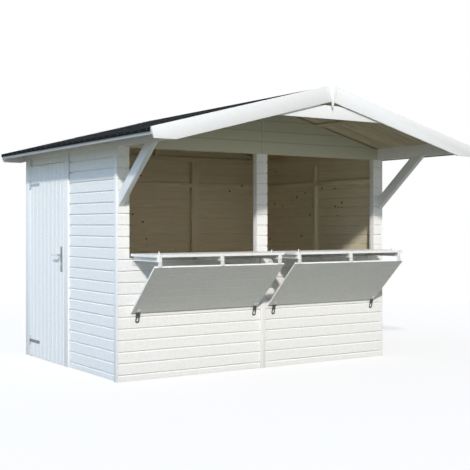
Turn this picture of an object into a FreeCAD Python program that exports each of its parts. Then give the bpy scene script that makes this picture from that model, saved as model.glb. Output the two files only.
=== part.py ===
import FreeCAD, Part
import math
import os

# Garden kiosk shed: boarded timber walls, two serving openings with folding
# hatches, a ledged side door and a felted pitched roof with a front canopy.
# Millimetres. +X runs along the front, +Y to the back, +Z up. The front faces -Y.
# The origin is the middle of the wall plan, on the ground.

V = FreeCAD.Vector
os.makedirs("parts", exist_ok=True)

# Walls
WALL_WIDTH = 2940.0
WALL_DEPTH = 2040.0
BOARD = 16.0
STUD = 45.0
PLATE_Z = 1953.0
GROUND_GAP = 4.0
PANEL_GAP = 1.0

# Trims and cover battens
TRIM = 16.0
TRIM_FACE = 54.0
CENTRE_BATTEN_WIDTH = 50.0
CENTRE_BATTEN_DROP = 16.0
LOCK_TRIM_WIDTH = 89.0
HINGE_TRIM_WIDTH = 129.0

# Floor
BEARER_WIDTH = 45.0
BEARER_HEIGHT = 58.0
BEARER_COUNT = 5
DECK = 18.0
FLOOR_GAP = 6.0

# Serving openings
SILL_Z = 1028.0
MID_POST = 118.0
END_POST = 102.0

# Inner framing
BACK_RAIL_GAP = 5.0
BACK_STUD_X = 485.0
SIDE_STUD_Y = -15.0
NOGGING_DROP = 231.0

# Roof
PITCH = 14.6
PURLIN_HEIGHT = 98.0
ROOF_BOARD = 19.0
FELT = 3.0
FELT_DROP = 18.0
EAVE_OVERHANG = 216.0
FRONT_OVERHANG = 1000.0
REAR_OVERHANG = 120.0
FASCIA = 18.0
FASCIA_HEIGHT = 35.5
PURLIN_WIDTH = 45.0
RIDGE_BEAM_WIDTH = 45.0
RIDGE_BEAM_DEPTH = 112.0
BATTEN_X = 660.0
BATTEN_WIDTH = 70.0
BATTEN_DEPTH = 20.0

# Barge boards, tie and finial
BARGE = 18.0
BARGE_WIDTH = 134.0
BARGE_RISE = 6.0
BARGE_TAIL = 84.5
TIE = 16.0
TIE_DROP = 252.0
TIE_HEIGHT = 111.0
TIE_LENGTH = 1280.0
FINIAL = 16.0
FINIAL_WIDTH = 72.0
FINIAL_SIDE = 54.0
FINIAL_TAPER = 69.0
FINIAL_NECK_WIDTH = 30.0
FINIAL_POINT = 64.0

# Canopy braces
BRACE_WIDTH = 45.0
BRACE_DEPTH = 90.0
BRACE_DROP = 496.0
BRACE_REACH = 606.0

# Folding hatches, each a counter leaf and a prop leaf
HATCH_SIDE_GAP = 10.0
HATCH_MID_GAP = 1.0
COUNTER = 22.0
COUNTER_RISE = 15.0
COUNTER_DEPTH = 416.0
COUNTER_WALL_GAP = 4.0
CLEAT_WIDTH = 34.0
CLEAT_HEIGHT = 36.0
CLEAT_INSET = 24.0
FLAP = 16.0
FLAP_DROP = 81.0
FLAP_LENGTH = 572.0

# How far a cutting block stands past the piece that it cuts
CUT_MARGIN = 1.0

# Hatch fittings
HINGE_LEAF = 2.5
HINGE_KNUCKLE = 5.0
HINGE_LENGTH = 60.0
HINGE_REACH = 38.0
HINGE_TONGUE_WIDTH = 28.0
HINGE_TONGUE_LENGTH = 64.0
LINK = 3.0
LINK_TOP_WIDTH = 34.0
LINK_FOOT_WIDTH = 46.0
LINK_FLARE = 40.0
LINK_INSET = 48.0
PIN_RADIUS = 6.0
PIN_HEIGHT = 26.0
PIN_INSET = 12.0
PIN_LEFT = 45.0
PIN_RIGHT = 128.0
HASP = 3.0
HASP_WIDTH = 28.0
HASP_LEAF = 34.0
HASP_RISE = 14.0
HASP_LENGTH = 92.0
HASP_SLOT_WIDTH = 10.0
HASP_SLOT_LENGTH = 38.0
HASP_SLOT_FOOT = 14.0
HASP_LEFT = 68.0
HASP_RIGHT = 26.0

# Door
DOOR_WIDTH = 817.0
DOOR_BOTTOM = 12.0
DOOR_HEAD_DROP = 69.0
DOOR_BOARD = 16.0
LOCK_SIDE_GAP = 7.0
HINGE_SIDE_GAP = 6.0
HEAD_GAP = 7.0
STOP_LAP = 7.0
LEDGE = 18.0
LEDGE_WIDTH = 90.0
LEDGE_FOOT = 158.0
LOCK_LEDGE_GAP = 6.0
LEDGE_HEAD = 214.0
LEDGE_INSET = 14.0
DOOR_BRACE_WIDTH = 80.0

# Door hinges
HINGE_FOOT = 148.0
HINGE_HEAD = 184.0
PIVOT_PIN = 4.0
PIVOT_FIT = 0.05
BARREL = 7.0
STRAP = 3.0
STRAP_LENGTH = 230.0
STRAP_TIP = 16.0
STRAP_BARREL = 28.0
FIXED_BARREL = 14.0
FIXED_PLATE_HEIGHT = 100.0
FIXED_PLATE_WIDTH = 30.0
KNUCKLE_GAP = 0.5

# Lock plates and lever
LOCK_INSET = 53.0
LEVER_HEIGHT = 1025.0
LOCK_PLATE = 3.0
LOCK_PLATE_WIDTH = 40.0
LOCK_PLATE_ABOVE = 79.0
LOCK_PLATE_BELOW = 154.0
NECK = 9.0
NECK_FIT = 0.05
SPINDLE = 5.0
LEAF_FIT = 0.5
LEVER_STANDOFF = 48.0
LEVER_LENGTH = 118.0
LEVER_RADIUS = 9.0
LEVER_TIP = 6.5

# Values that follow from the sizes above
SIDE_X = WALL_WIDTH / 2 - TRIM
FRONT_Y = -WALL_DEPTH / 2
BACK_Y = WALL_DEPTH / 2
IN_X = SIDE_X - BOARD
IN_FRONT = FRONT_Y + BOARD
IN_BACK = BACK_Y - BOARD
FRAME_X = IN_X - STUD
FRAME_FRONT = IN_FRONT + STUD
FRAME_BACK = IN_BACK - STUD
DECK_TOP = BEARER_HEIGHT + DECK
RAIL_TOP = DECK_TOP + STUD
OPEN_OUT = SIDE_X - END_POST
OPEN_IN = MID_POST / 2
TAN = math.tan(math.radians(PITCH))
COS = math.cos(math.radians(PITCH))
SIN = math.sin(math.radians(PITCH))
BARGE_FRONT = FRONT_Y - FRONT_OVERHANG
ROOF_FRONT = BARGE_FRONT + BARGE
BARGE_REAR = BACK_Y + REAR_OVERHANG
ROOF_REAR = BARGE_REAR - BARGE
PURLIN_IN = SIDE_X - PURLIN_WIDTH
EAVE_X = WALL_WIDTH / 2 + EAVE_OVERHANG
SOFFIT_APEX = PLATE_Z + PURLIN_HEIGHT + TAN * SIDE_X
BACK_RAIL_TOP = SOFFIT_APEX - TAN * PURLIN_IN - BACK_RAIL_GAP
BACK_RAIL_Z = BACK_RAIL_TOP - STUD
NOGGING_Z = PLATE_Z - NOGGING_DROP
BOARD_APEX = SOFFIT_APEX + ROOF_BOARD / COS
FELT_APEX = BOARD_APEX + FELT / COS
BARGE_APEX = FELT_APEX + BARGE_RISE
BARGE_LOW_APEX = BARGE_APEX - BARGE_WIDTH / COS
RIDGE_BEAM_FOOT = SOFFIT_APEX - RIDGE_BEAM_DEPTH
FASCIA_FOOT = BOARD_APEX - TAN * EAVE_X - FASCIA_HEIGHT
BARGE_TAIL_TOP = BARGE_APEX - TAN * EAVE_X
BARGE_FOOT = BARGE_TAIL_TOP - BARGE_TAIL
TIE_BOTTOM = SOFFIT_APEX - TIE_DROP
FINIAL_CORNER = BARGE_APEX - TAN * FINIAL_WIDTH / 2
FINIAL_SHOULDER = FINIAL_CORNER - FINIAL_SIDE
FINIAL_NECK = FINIAL_SHOULDER - FINIAL_TAPER
FINIAL_TIP = FINIAL_NECK - FINIAL_POINT
BRACE_SLOPE = math.atan2(BRACE_DROP, BRACE_REACH)
BRACE_FOOT = PLATE_Z - BRACE_DROP
BRACE_HEAD = BRACE_FOOT + BRACE_DEPTH / math.cos(BRACE_SLOPE)
BRACE_REACH_HIGH = BRACE_REACH - BRACE_DEPTH / math.sin(BRACE_SLOPE)
CENTRE_BATTEN_TOP = SILL_Z - CENTRE_BATTEN_DROP
COUNTER_BACK = FRONT_Y - COUNTER_WALL_GAP
COUNTER_FRONT = COUNTER_BACK - COUNTER_DEPTH
COUNTER_FOOT = SILL_Z + COUNTER_RISE
COUNTER_TOP = COUNTER_FOOT + COUNTER
CLEAT_FOOT = COUNTER_FOOT - CLEAT_HEIGHT
FLAP_TOP = COUNTER_FOOT - FLAP_DROP
LINK_WAIST = FLAP_TOP + LINK_FLARE
HATCH_OUT = OPEN_OUT - HATCH_SIDE_GAP
HATCH_IN = OPEN_IN + HATCH_MID_GAP
HATCH_WIDTH = HATCH_OUT - HATCH_IN
LINK_AT = (LINK_INSET, HATCH_WIDTH / 2, HATCH_WIDTH - LINK_INSET)
CLEAT_END = CLEAT_INSET + CLEAT_WIDTH / 2
CLEAT_AT = (CLEAT_END, HATCH_WIDTH / 2, HATCH_WIDTH - CLEAT_END)
PIN_AT = (PIN_LEFT, HATCH_WIDTH - PIN_RIGHT)
HASP_AT = (HASP_LEFT, HATCH_WIDTH - HASP_RIGHT)
DOOR_BACK = BACK_Y - HINGE_TRIM_WIDTH - HINGE_SIDE_GAP
DOOR_FRONT = DOOR_BACK - DOOR_WIDTH
DOOR_TOP = PLATE_Z - DOOR_HEAD_DROP
DOOR_FACE = -WALL_WIDTH / 2
DOOR_INNER = DOOR_FACE + DOOR_BOARD
FRAME_DOOR_FRONT = DOOR_FRONT - LOCK_SIDE_GAP
FRAME_DOOR_BACK = DOOR_BACK + HINGE_SIDE_GAP
FRAME_DOOR_TOP = DOOR_TOP + HEAD_GAP
JAMB_FRONT = DOOR_FRONT + STOP_LAP
JAMB_BACK = DOOR_BACK - STOP_LAP
JAMB_TOP = DOOR_TOP - STOP_LAP
PIVOT_X = DOOR_FACE - BARREL
PIVOT_Y = DOOR_BACK + HINGE_SIDE_GAP / 2
HINGE_Z = (DOOR_BOTTOM + HINGE_FOOT, DOOR_TOP - HINGE_HEAD)
LOCK_Y = DOOR_FRONT + LOCK_INSET
LEVER_Z = LEVER_HEIGHT
LOCK_PLATE_BOTTOM = LEVER_Z - LOCK_PLATE_BELOW
LOCK_PLATE_TOP = LEVER_Z + LOCK_PLATE_ABOVE
LEDGE_MIDDLE = LOCK_PLATE_BOTTOM - LOCK_LEDGE_GAP - LEDGE_WIDTH
LEDGE_Z = (DOOR_BOTTOM + LEDGE_FOOT, LEDGE_MIDDLE, DOOR_TOP - LEDGE_HEAD)
LEFT_STUD_Y = (IN_FRONT + JAMB_FRONT) / 2
FRONT_STUD_X = (OPEN_IN + OPEN_OUT) / 2


def slab(x0, x1, y0, y1, z0, z1):
    """A plain board between two corners."""
    return Part.makeBox(x1 - x0, y1 - y0, z1 - z0, V(x0, y0, z0))


def profile_y(points, y0, y1):
    """An (x, z) outline carried from y0 to y1."""
    ring = [V(x, y0, z) for x, z in points]
    face = Part.Face(Part.makePolygon(ring + ring[:1]))
    return face.extrude(V(0, y1 - y0, 0))


def profile_x(points, x0, x1):
    """A (y, z) outline carried from x0 to x1."""
    ring = [V(x0, y, z) for y, z in points]
    face = Part.Face(Part.makePolygon(ring + ring[:1]))
    return face.extrude(V(x1 - x0, 0, 0))


def mirrored(shape):
    """The same piece on the other side of the building."""
    return shape.mirror(V(0, 0, 0), V(1, 0, 0))


def rod(radius, start, end):
    """A round bar between two points."""
    line = end - start
    return Part.makeCylinder(radius, line.Length, start, line)


def joined(shapes):
    """Pieces that are one piece in the real thing."""
    whole = shapes[0].fuse(shapes[1:])
    return whole.removeSplitter()


def export(node, shapes):
    """Write one named piece, or several like pieces that do not touch."""
    solids = []
    for shape in shapes:
        solids.extend(shape.Solids)
    for solid in solids:
        if solid.Volume <= 0 or not solid.isValid():
            raise ValueError(node + " is not a sound solid")
    Part.makeCompound(solids).exportStep("parts/" + node + ".step")


def soffit(x):
    """Height of the underside of the roof boards."""
    return SOFFIT_APEX - TAN * abs(x)


def board_top(x):
    """Height of the top of the roof boards."""
    return BOARD_APEX - TAN * abs(x)


# Floor: bearers across the plan and a boarded deck
deck_x = IN_X - FLOOR_GAP
deck_y = IN_BACK - FLOOR_GAP
bearer_step = (2 * deck_y - BEARER_WIDTH) / (BEARER_COUNT - 1)
bearers = []
for i in range(BEARER_COUNT):
    y = -deck_y + i * bearer_step
    bearers.append(slab(-deck_x, deck_x, y, y + BEARER_WIDTH, 0, BEARER_HEIGHT))
export("floor_bearers", bearers)
export("floor_deck", [slab(-deck_x, deck_x, -deck_y, deck_y, BEARER_HEIGHT, DECK_TOP)])

# Ridge beam, eave purlins and the battens under the roof boards
ridge_beam = profile_y(
    [
        (-RIDGE_BEAM_WIDTH / 2, RIDGE_BEAM_FOOT),
        (RIDGE_BEAM_WIDTH / 2, RIDGE_BEAM_FOOT),
        (RIDGE_BEAM_WIDTH / 2, soffit(RIDGE_BEAM_WIDTH / 2)),
        (0, SOFFIT_APEX),
        (-RIDGE_BEAM_WIDTH / 2, soffit(RIDGE_BEAM_WIDTH / 2)),
    ],
    ROOF_FRONT,
    ROOF_REAR,
)
export("ridge_beam", [ridge_beam])

purlin = profile_y(
    [
        (PURLIN_IN, PLATE_Z),
        (SIDE_X, PLATE_Z),
        (SIDE_X, soffit(SIDE_X)),
        (PURLIN_IN, soffit(PURLIN_IN)),
    ],
    ROOF_FRONT,
    ROOF_REAR,
)
export("eave_purlins", [purlin, mirrored(purlin)])

batten_up = BATTEN_X - BATTEN_WIDTH * COS / 2
batten_down = BATTEN_X + BATTEN_WIDTH * COS / 2
roof_batten = profile_y(
    [
        (batten_up, soffit(batten_up)),
        (batten_down, soffit(batten_down)),
        (batten_down - BATTEN_DEPTH * SIN, soffit(batten_down) - BATTEN_DEPTH * COS),
        (batten_up - BATTEN_DEPTH * SIN, soffit(batten_up) - BATTEN_DEPTH * COS),
    ],
    ROOF_FRONT,
    ROOF_REAR,
)
export("roof_battens", [roof_batten, mirrored(roof_batten)])

# Front boarding: below the sills, on the posts and in the gable
lower_right = slab(PANEL_GAP / 2, SIDE_X, FRONT_Y, IN_FRONT, GROUND_GAP, SILL_Z)
export("front_wall_lower", [lower_right, mirrored(lower_right)])
post_right = slab(OPEN_OUT, SIDE_X, FRONT_Y, IN_FRONT, SILL_Z, PLATE_Z)
post_middle = slab(-OPEN_IN, OPEN_IN, FRONT_Y, IN_FRONT, SILL_Z, PLATE_Z)
export("front_posts", [post_right, mirrored(post_right), post_middle])


def gable(y0, y1):
    """Boarding from the plates to the roof, let in round the beams."""
    outline = [
        (-PURLIN_IN, PLATE_Z),
        (PURLIN_IN, PLATE_Z),
        (PURLIN_IN, soffit(PURLIN_IN)),
        (0, SOFFIT_APEX),
        (-PURLIN_IN, soffit(PURLIN_IN)),
    ]
    panel = profile_y(outline, y0, y1)
    return panel.cut([ridge_beam, roof_batten, mirrored(roof_batten)])


export("front_gable", [gable(FRONT_Y, IN_FRONT)])
export("rear_gable", [gable(IN_BACK, BACK_Y)])

# Back and side boarding, parted round the doorway
export("back_wall", [slab(-SIDE_X, SIDE_X, IN_BACK, BACK_Y, GROUND_GAP, PLATE_Z)])
export("right_wall", [slab(IN_X, SIDE_X, IN_FRONT, IN_BACK, GROUND_GAP, PLATE_Z)])
export("left_wall_front", [slab(-SIDE_X, -IN_X, IN_FRONT, FRAME_DOOR_FRONT, GROUND_GAP, PLATE_Z)])
export("left_wall_rear", [slab(-SIDE_X, -IN_X, FRAME_DOOR_BACK, IN_BACK, GROUND_GAP, PLATE_Z)])
export(
    "left_wall_over_door",
    [slab(-SIDE_X, -IN_X, FRAME_DOOR_FRONT, FRAME_DOOR_BACK, FRAME_DOOR_TOP, PLATE_Z)],
)

# Corner trims, the wide hinge-side trim and the cover battens
trim_front = slab(SIDE_X, SIDE_X + TRIM, FRONT_Y, FRONT_Y + TRIM_FACE, GROUND_GAP, PLATE_Z)
trim_back = slab(SIDE_X, SIDE_X + TRIM, BACK_Y - TRIM_FACE, BACK_Y, GROUND_GAP, PLATE_Z)
trim_hinge = slab(-SIDE_X - TRIM, -SIDE_X, FRAME_DOOR_BACK, BACK_Y, GROUND_GAP, PLATE_Z)
export("corner_trims", [trim_front, mirrored(trim_front), trim_back])
export("door_hinge_trim", [trim_hinge])
export(
    "door_lock_trim",
    [
        slab(
            -SIDE_X - TRIM,
            -SIDE_X,
            FRAME_DOOR_FRONT - LOCK_TRIM_WIDTH,
            FRAME_DOOR_FRONT,
            GROUND_GAP,
            PLATE_Z,
        )
    ],
)
export(
    "front_centre_batten",
    [
        slab(
            -CENTRE_BATTEN_WIDTH / 2,
            CENTRE_BATTEN_WIDTH / 2,
            FRONT_Y - TRIM,
            FRONT_Y,
            GROUND_GAP,
            CENTRE_BATTEN_TOP,
        )
    ],
)

# Inner framing: rails along the front and back, rails along the sides, studs between
rails_cross = [
    slab(-IN_X, IN_X, IN_FRONT, FRAME_FRONT, DECK_TOP, RAIL_TOP),
    slab(-IN_X, IN_X, FRAME_BACK, IN_BACK, DECK_TOP, RAIL_TOP),
    slab(-PURLIN_IN, PURLIN_IN, IN_FRONT, FRAME_FRONT, PLATE_Z, PLATE_Z + STUD),
    slab(-PURLIN_IN, PURLIN_IN, FRAME_BACK, IN_BACK, BACK_RAIL_Z, BACK_RAIL_TOP),
]
sill_rail = slab(OPEN_IN, OPEN_OUT, IN_FRONT, FRAME_FRONT, SILL_Z - STUD, SILL_Z)
rails_cross.extend([sill_rail, mirrored(sill_rail)])
nogging_top = NOGGING_Z + STUD
for x0, x1 in (
    (-FRAME_X, -BACK_STUD_X - STUD),
    (-BACK_STUD_X + STUD, BACK_STUD_X - STUD),
    (BACK_STUD_X + STUD, FRAME_X),
):
    rails_cross.append(slab(x0, x1, FRAME_BACK, IN_BACK, NOGGING_Z, nogging_top))
export("front_and_back_rails", rails_cross)

rails_side = [
    slab(FRAME_X, IN_X, FRAME_FRONT, FRAME_BACK, DECK_TOP, RAIL_TOP),
    slab(-IN_X, -FRAME_X, FRAME_FRONT, JAMB_FRONT, DECK_TOP, RAIL_TOP),
    slab(-IN_X, -FRAME_X, JAMB_BACK, FRAME_BACK, DECK_TOP, RAIL_TOP),
    slab(-IN_X, -FRAME_X, JAMB_FRONT, JAMB_BACK, JAMB_TOP, JAMB_TOP + STUD),
    slab(FRAME_X, IN_X, FRAME_FRONT, SIDE_STUD_Y - STUD / 2, NOGGING_Z, nogging_top),
    slab(FRAME_X, IN_X, SIDE_STUD_Y + STUD / 2, FRAME_BACK, NOGGING_Z, nogging_top),
]
export("side_rails", rails_side)

corner_front = slab(OPEN_OUT, IN_X, IN_FRONT, FRAME_FRONT, RAIL_TOP, PLATE_Z)
corner_back = slab(FRAME_X, IN_X, FRAME_BACK, IN_BACK, RAIL_TOP, PLATE_Z)
middle_stud = slab(OPEN_IN - STUD, OPEN_IN, IN_FRONT, FRAME_FRONT, RAIL_TOP, PLATE_Z)
low_stud = slab(
    FRONT_STUD_X - STUD / 2,
    FRONT_STUD_X + STUD / 2,
    IN_FRONT,
    FRAME_FRONT,
    RAIL_TOP,
    SILL_Z - STUD,
)
back_stud = slab(
    BACK_STUD_X - STUD,
    BACK_STUD_X + STUD,
    FRAME_BACK,
    IN_BACK,
    RAIL_TOP,
    BACK_RAIL_Z,
)
studs = [corner_front, corner_back, middle_stud, low_stud, back_stud]
studs.extend([mirrored(stud) for stud in list(studs)])
side_low = SIDE_STUD_Y - STUD / 2
side_high = SIDE_STUD_Y + STUD / 2
studs.append(slab(FRAME_X, IN_X, side_low, side_high, RAIL_TOP, PLATE_Z))
for y in (LEFT_STUD_Y, JAMB_FRONT - STUD / 2, JAMB_BACK + STUD / 2):
    studs.append(slab(-IN_X, -FRAME_X, y - STUD / 2, y + STUD / 2, RAIL_TOP, PLATE_Z))
king_width = RIDGE_BEAM_WIDTH / 2
studs.append(slab(-king_width, king_width, IN_FRONT, FRAME_FRONT, PLATE_Z + STUD, RIDGE_BEAM_FOOT))
studs.append(slab(-king_width, king_width, FRAME_BACK, IN_BACK, BACK_RAIL_TOP, RIDGE_BEAM_FOOT))
export("wall_studs", studs)

# Roof boards, one slope a side, and the felt folded over ridge and eaves
board_out = EAVE_X - FASCIA
boards_right = profile_y(
    [
        (PANEL_GAP / 2, soffit(PANEL_GAP / 2)),
        (board_out, soffit(board_out)),
        (board_out, board_top(board_out)),
        (PANEL_GAP / 2, board_top(PANEL_GAP / 2)),
    ],
    ROOF_FRONT,
    ROOF_REAR,
)
export("roof_boards", [boards_right, mirrored(boards_right)])

fascia = profile_y(
    [
        (board_out, FASCIA_FOOT),
        (EAVE_X, FASCIA_FOOT),
        (EAVE_X, board_top(EAVE_X)),
        (board_out, board_top(board_out)),
    ],
    ROOF_FRONT,
    ROOF_REAR,
)
export("eave_fascias", [fascia, mirrored(fascia)])

felt_edge = EAVE_X + FELT
felt_top = FELT_APEX - TAN * felt_edge
felt_half = [
    (felt_edge, felt_top),
    (felt_edge, felt_top - FELT_DROP),
    (EAVE_X, felt_top - FELT_DROP),
    (EAVE_X, board_top(EAVE_X)),
]
felt_ring = [(0, FELT_APEX)] + felt_half + [(0, BOARD_APEX)]
felt_ring.extend([(-x, z) for x, z in reversed(felt_half)])
export("roof_felt", [profile_y(felt_ring, ROOF_FRONT, ROOF_REAR)])

# Barge boards with square-cut tails and a level foot
tail_x = EAVE_X - BARGE_TAIL * TAN
foot_x = (BARGE_LOW_APEX - BARGE_FOOT) / TAN
barge_outline = [
    (PANEL_GAP / 2, BARGE_APEX - TAN * PANEL_GAP / 2),
    (EAVE_X, BARGE_TAIL_TOP),
    (tail_x, BARGE_FOOT),
    (foot_x, BARGE_FOOT),
    (PANEL_GAP / 2, BARGE_LOW_APEX - TAN * PANEL_GAP / 2),
]
barge_front = profile_y(barge_outline, BARGE_FRONT, ROOF_FRONT)
barge_rear = profile_y(barge_outline, ROOF_REAR, BARGE_REAR)
export("front_barges", [barge_front, mirrored(barge_front)])
export("rear_barges", [barge_rear, mirrored(barge_rear)])

# Tie board behind the front barges, with ends cut back under the roof
tie_top = TIE_BOTTOM + TIE_HEIGHT
tie_top_half = min(TIE_LENGTH / 2, (SOFFIT_APEX - tie_top) / TAN - PANEL_GAP)
tie_outline = [
    (-TIE_LENGTH / 2, TIE_BOTTOM),
    (TIE_LENGTH / 2, TIE_BOTTOM),
    (tie_top_half, tie_top),
    (-tie_top_half, tie_top),
]
export("tie_board", [profile_y(tie_outline, ROOF_FRONT, ROOF_FRONT + TIE)])

# Pointed finial over the joint of the barge boards, front and rear
finial_half = FINIAL_WIDTH / 2
finial_outline = [
    (0, BARGE_APEX),
    (finial_half, FINIAL_CORNER),
    (finial_half, FINIAL_SHOULDER),
    (FINIAL_NECK_WIDTH / 2, FINIAL_NECK),
    (0, FINIAL_TIP),
    (-FINIAL_NECK_WIDTH / 2, FINIAL_NECK),
    (-finial_half, FINIAL_SHOULDER),
    (-finial_half, FINIAL_CORNER),
]
export(
    "finials",
    [
        profile_y(finial_outline, BARGE_FRONT - FINIAL, BARGE_FRONT),
        profile_y(finial_outline, BARGE_REAR, BARGE_REAR + FINIAL),
    ],
)

# Braces from the front corner posts up to the eave purlins
brace = profile_x(
    [
        (FRONT_Y, BRACE_FOOT),
        (FRONT_Y - BRACE_REACH, PLATE_Z),
        (FRONT_Y - BRACE_REACH_HIGH, PLATE_Z),
        (FRONT_Y, BRACE_HEAD),
    ],
    SIDE_X - BRACE_WIDTH,
    SIDE_X,
)
export("canopy_braces", [brace, mirrored(brace)])

# The prop leaf leans from the front of the counter back to the wall
flap_lean = FRONT_Y - (COUNTER_FRONT - LINK)
flap_angle = math.asin(flap_lean / math.hypot(FLAP_LENGTH, FLAP)) - math.atan2(FLAP, FLAP_LENGTH)
flap_run = V(0, -math.sin(flap_angle), math.cos(flap_angle))
flap_back = V(0, math.cos(flap_angle), math.sin(flap_angle))
flap_top = V(0, COUNTER_FRONT - LINK, FLAP_TOP)
flap_foot = flap_top - flap_run * FLAP_LENGTH
flap_ring = [flap_foot, flap_top, flap_top + flap_back * FLAP, flap_foot + flap_back * FLAP]
flap_outline = [(p.y, p.z) for p in flap_ring]


def slotted(x, z0, z1, width, y0, y1):
    """A round-ended plate or slot standing in the (x, z) plane."""
    half = width / 2
    low = z0 + half
    high = z1 - half
    middle = slab(x - half, x + half, y0, y1, low, high)
    ends = [rod(half, V(x, y0, z), V(x, y1, z)) for z in (low, high)]
    return joined([middle] + ends)


def hasp(x):
    """Slotted hasp: a leaf on the prop leaf's face and a strap that leans on the wall."""
    out = flap_back * -1
    foot = V(x - HASP_WIDTH / 2, *flap_outline[0]) + flap_run * HASP_RISE
    top = foot + flap_run * HASP_LEAF
    leaf_ring = [foot, top, top + out * HASP, foot + out * HASP]
    leaf = Part.Face(Part.makePolygon(leaf_ring + leaf_ring[:1])).extrude(V(HASP_WIDTH, 0, 0))
    pivot = foot + out * HASP
    bar = rod(HASP, pivot, pivot + V(HASP_WIDTH, 0, 0))
    half = HASP / 2
    face_y = pivot.y - half
    cut_front = face_y - CUT_MARGIN
    cut_back = face_y + HASP + CUT_MARGIN
    strap_foot = pivot.z - HASP_LENGTH
    strap_head = pivot.z + HASP_WIDTH
    strap = slotted(x, strap_foot, strap_head, HASP_WIDTH, face_y, face_y + HASP)
    above = slab(x - HASP_WIDTH, x + HASP_WIDTH, cut_front, cut_back, pivot.z, strap_head)
    slot_foot = strap_foot + HASP_SLOT_FOOT
    slot_head = slot_foot + HASP_SLOT_LENGTH
    slot = slotted(x, slot_foot, slot_head, HASP_SLOT_WIDTH, cut_front, cut_back)
    strap = strap.cut([above, slot])
    lean = math.asin((FRONT_Y - pivot.y) / math.hypot(HASP_LENGTH, half)) - math.atan2(half, HASP_LENGTH)
    strap.rotate(pivot, V(1, 0, 0), math.degrees(lean))
    return joined([leaf, bar, strap])


def sill_hinge(centre):
    """T-hinge: a leaf on the wall, a barrel and a tongue under the cleat."""
    h0 = centre - HINGE_LENGTH / 2
    h1 = centre + HINGE_LENGTH / 2
    t0 = centre - HINGE_TONGUE_WIDTH / 2
    t1 = centre + HINGE_TONGUE_WIDTH / 2
    barrel_y = FRONT_Y - HINGE_KNUCKLE
    barrel_z = CLEAT_FOOT - HINGE_KNUCKLE
    barrel = rod(HINGE_KNUCKLE, V(h0, barrel_y, barrel_z), V(h1, barrel_y, barrel_z))
    tongue_tip = barrel_y - HINGE_TONGUE_LENGTH
    tongue = slab(t0, t1, tongue_tip, barrel_y, CLEAT_FOOT - HINGE_LEAF, CLEAT_FOOT)
    leaf = slab(h0, h1, FRONT_Y - HINGE_LEAF, FRONT_Y, barrel_z - HINGE_REACH, barrel_z)
    return joined([barrel, tongue, leaf])


def hatch(x0):
    """Every piece of the hatch whose left end stands at x0."""
    x1 = x0 + HATCH_WIDTH
    counter = [slab(x0, x1, COUNTER_FRONT, COUNTER_BACK, COUNTER_FOOT, COUNTER_TOP)]
    for along in CLEAT_AT:
        c0 = x0 + along - CLEAT_WIDTH / 2
        c1 = x0 + along + CLEAT_WIDTH / 2
        counter.append(slab(c0, c1, COUNTER_FRONT, COUNTER_BACK, CLEAT_FOOT, COUNTER_FOOT))
    counter = joined(counter)
    hinges = [sill_hinge(x0 + along) for along in CLEAT_AT]
    flap = profile_x(flap_outline, x0, x1)
    links = []
    for along in LINK_AT:
        centre = x0 + along
        link = profile_y(
            [
                (centre - LINK_TOP_WIDTH / 2, COUNTER_TOP),
                (centre + LINK_TOP_WIDTH / 2, COUNTER_TOP),
                (centre + LINK_TOP_WIDTH / 2, LINK_WAIST),
                (centre + LINK_FOOT_WIDTH / 2, FLAP_TOP),
                (centre - LINK_FOOT_WIDTH / 2, FLAP_TOP),
                (centre - LINK_TOP_WIDTH / 2, LINK_WAIST),
            ],
            COUNTER_FRONT - LINK,
            COUNTER_FRONT,
        )
        links.append(link.cut(flap))
    pins = []
    for along in PIN_AT:
        foot = V(x0 + along, COUNTER_FRONT + PIN_INSET, COUNTER_TOP)
        pins.append(rod(PIN_RADIUS, foot, foot + V(0, 0, PIN_HEIGHT)))
    hasps = [hasp(x0 + along) for along in HASP_AT]
    return counter, flap, links, hinges, pins, hasps


left_hatch = hatch(-HATCH_OUT)
right_hatch = hatch(HATCH_IN)
export("counter_left", [left_hatch[0]])
export("counter_right", [right_hatch[0]])
export("flap_left", [left_hatch[1]])
export("flap_right", [right_hatch[1]])
export("flap_links", left_hatch[2] + right_hatch[2])
export("sill_hinges", left_hatch[3] + right_hatch[3])
export("counter_pins", left_hatch[4] + right_hatch[4])
export("hatch_hasps", left_hatch[5] + right_hatch[5])

# Door leaf: vertical boarding with ledges and braces on its inner face
leaf = slab(DOOR_FACE, DOOR_INNER, DOOR_FRONT, DOOR_BACK, DOOR_BOTTOM, DOOR_TOP)
spindle_start = V(DOOR_FACE - LEVER_STANDOFF, LOCK_Y, LEVER_Z)
spindle_end = V(DOOR_INNER + LEVER_STANDOFF, LOCK_Y, LEVER_Z)
leaf = leaf.cut(rod(NECK + LEAF_FIT, spindle_start, spindle_end))
export("door_leaf", [leaf])

ledge_y0 = DOOR_FRONT + LEDGE_INSET
ledge_y1 = DOOR_BACK - LEDGE_INSET
ledges = []
for z in LEDGE_Z:
    ledges.append(slab(DOOR_INNER, DOOR_INNER + LEDGE, ledge_y0, ledge_y1, z, z + LEDGE_WIDTH))
export("door_ledges", ledges)

door_braces = []
for low, high in zip(LEDGE_Z[:-1], LEDGE_Z[1:]):
    z0 = low + LEDGE_WIDTH
    door_braces.append(
        profile_x(
            [
                (ledge_y1 - DOOR_BRACE_WIDTH, z0),
                (ledge_y1, z0),
                (ledge_y0 + DOOR_BRACE_WIDTH * 2, high),
                (ledge_y0 + DOOR_BRACE_WIDTH, high),
            ],
            DOOR_INNER,
            DOOR_INNER + LEDGE,
        )
    )
export("door_braces", door_braces)

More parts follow.
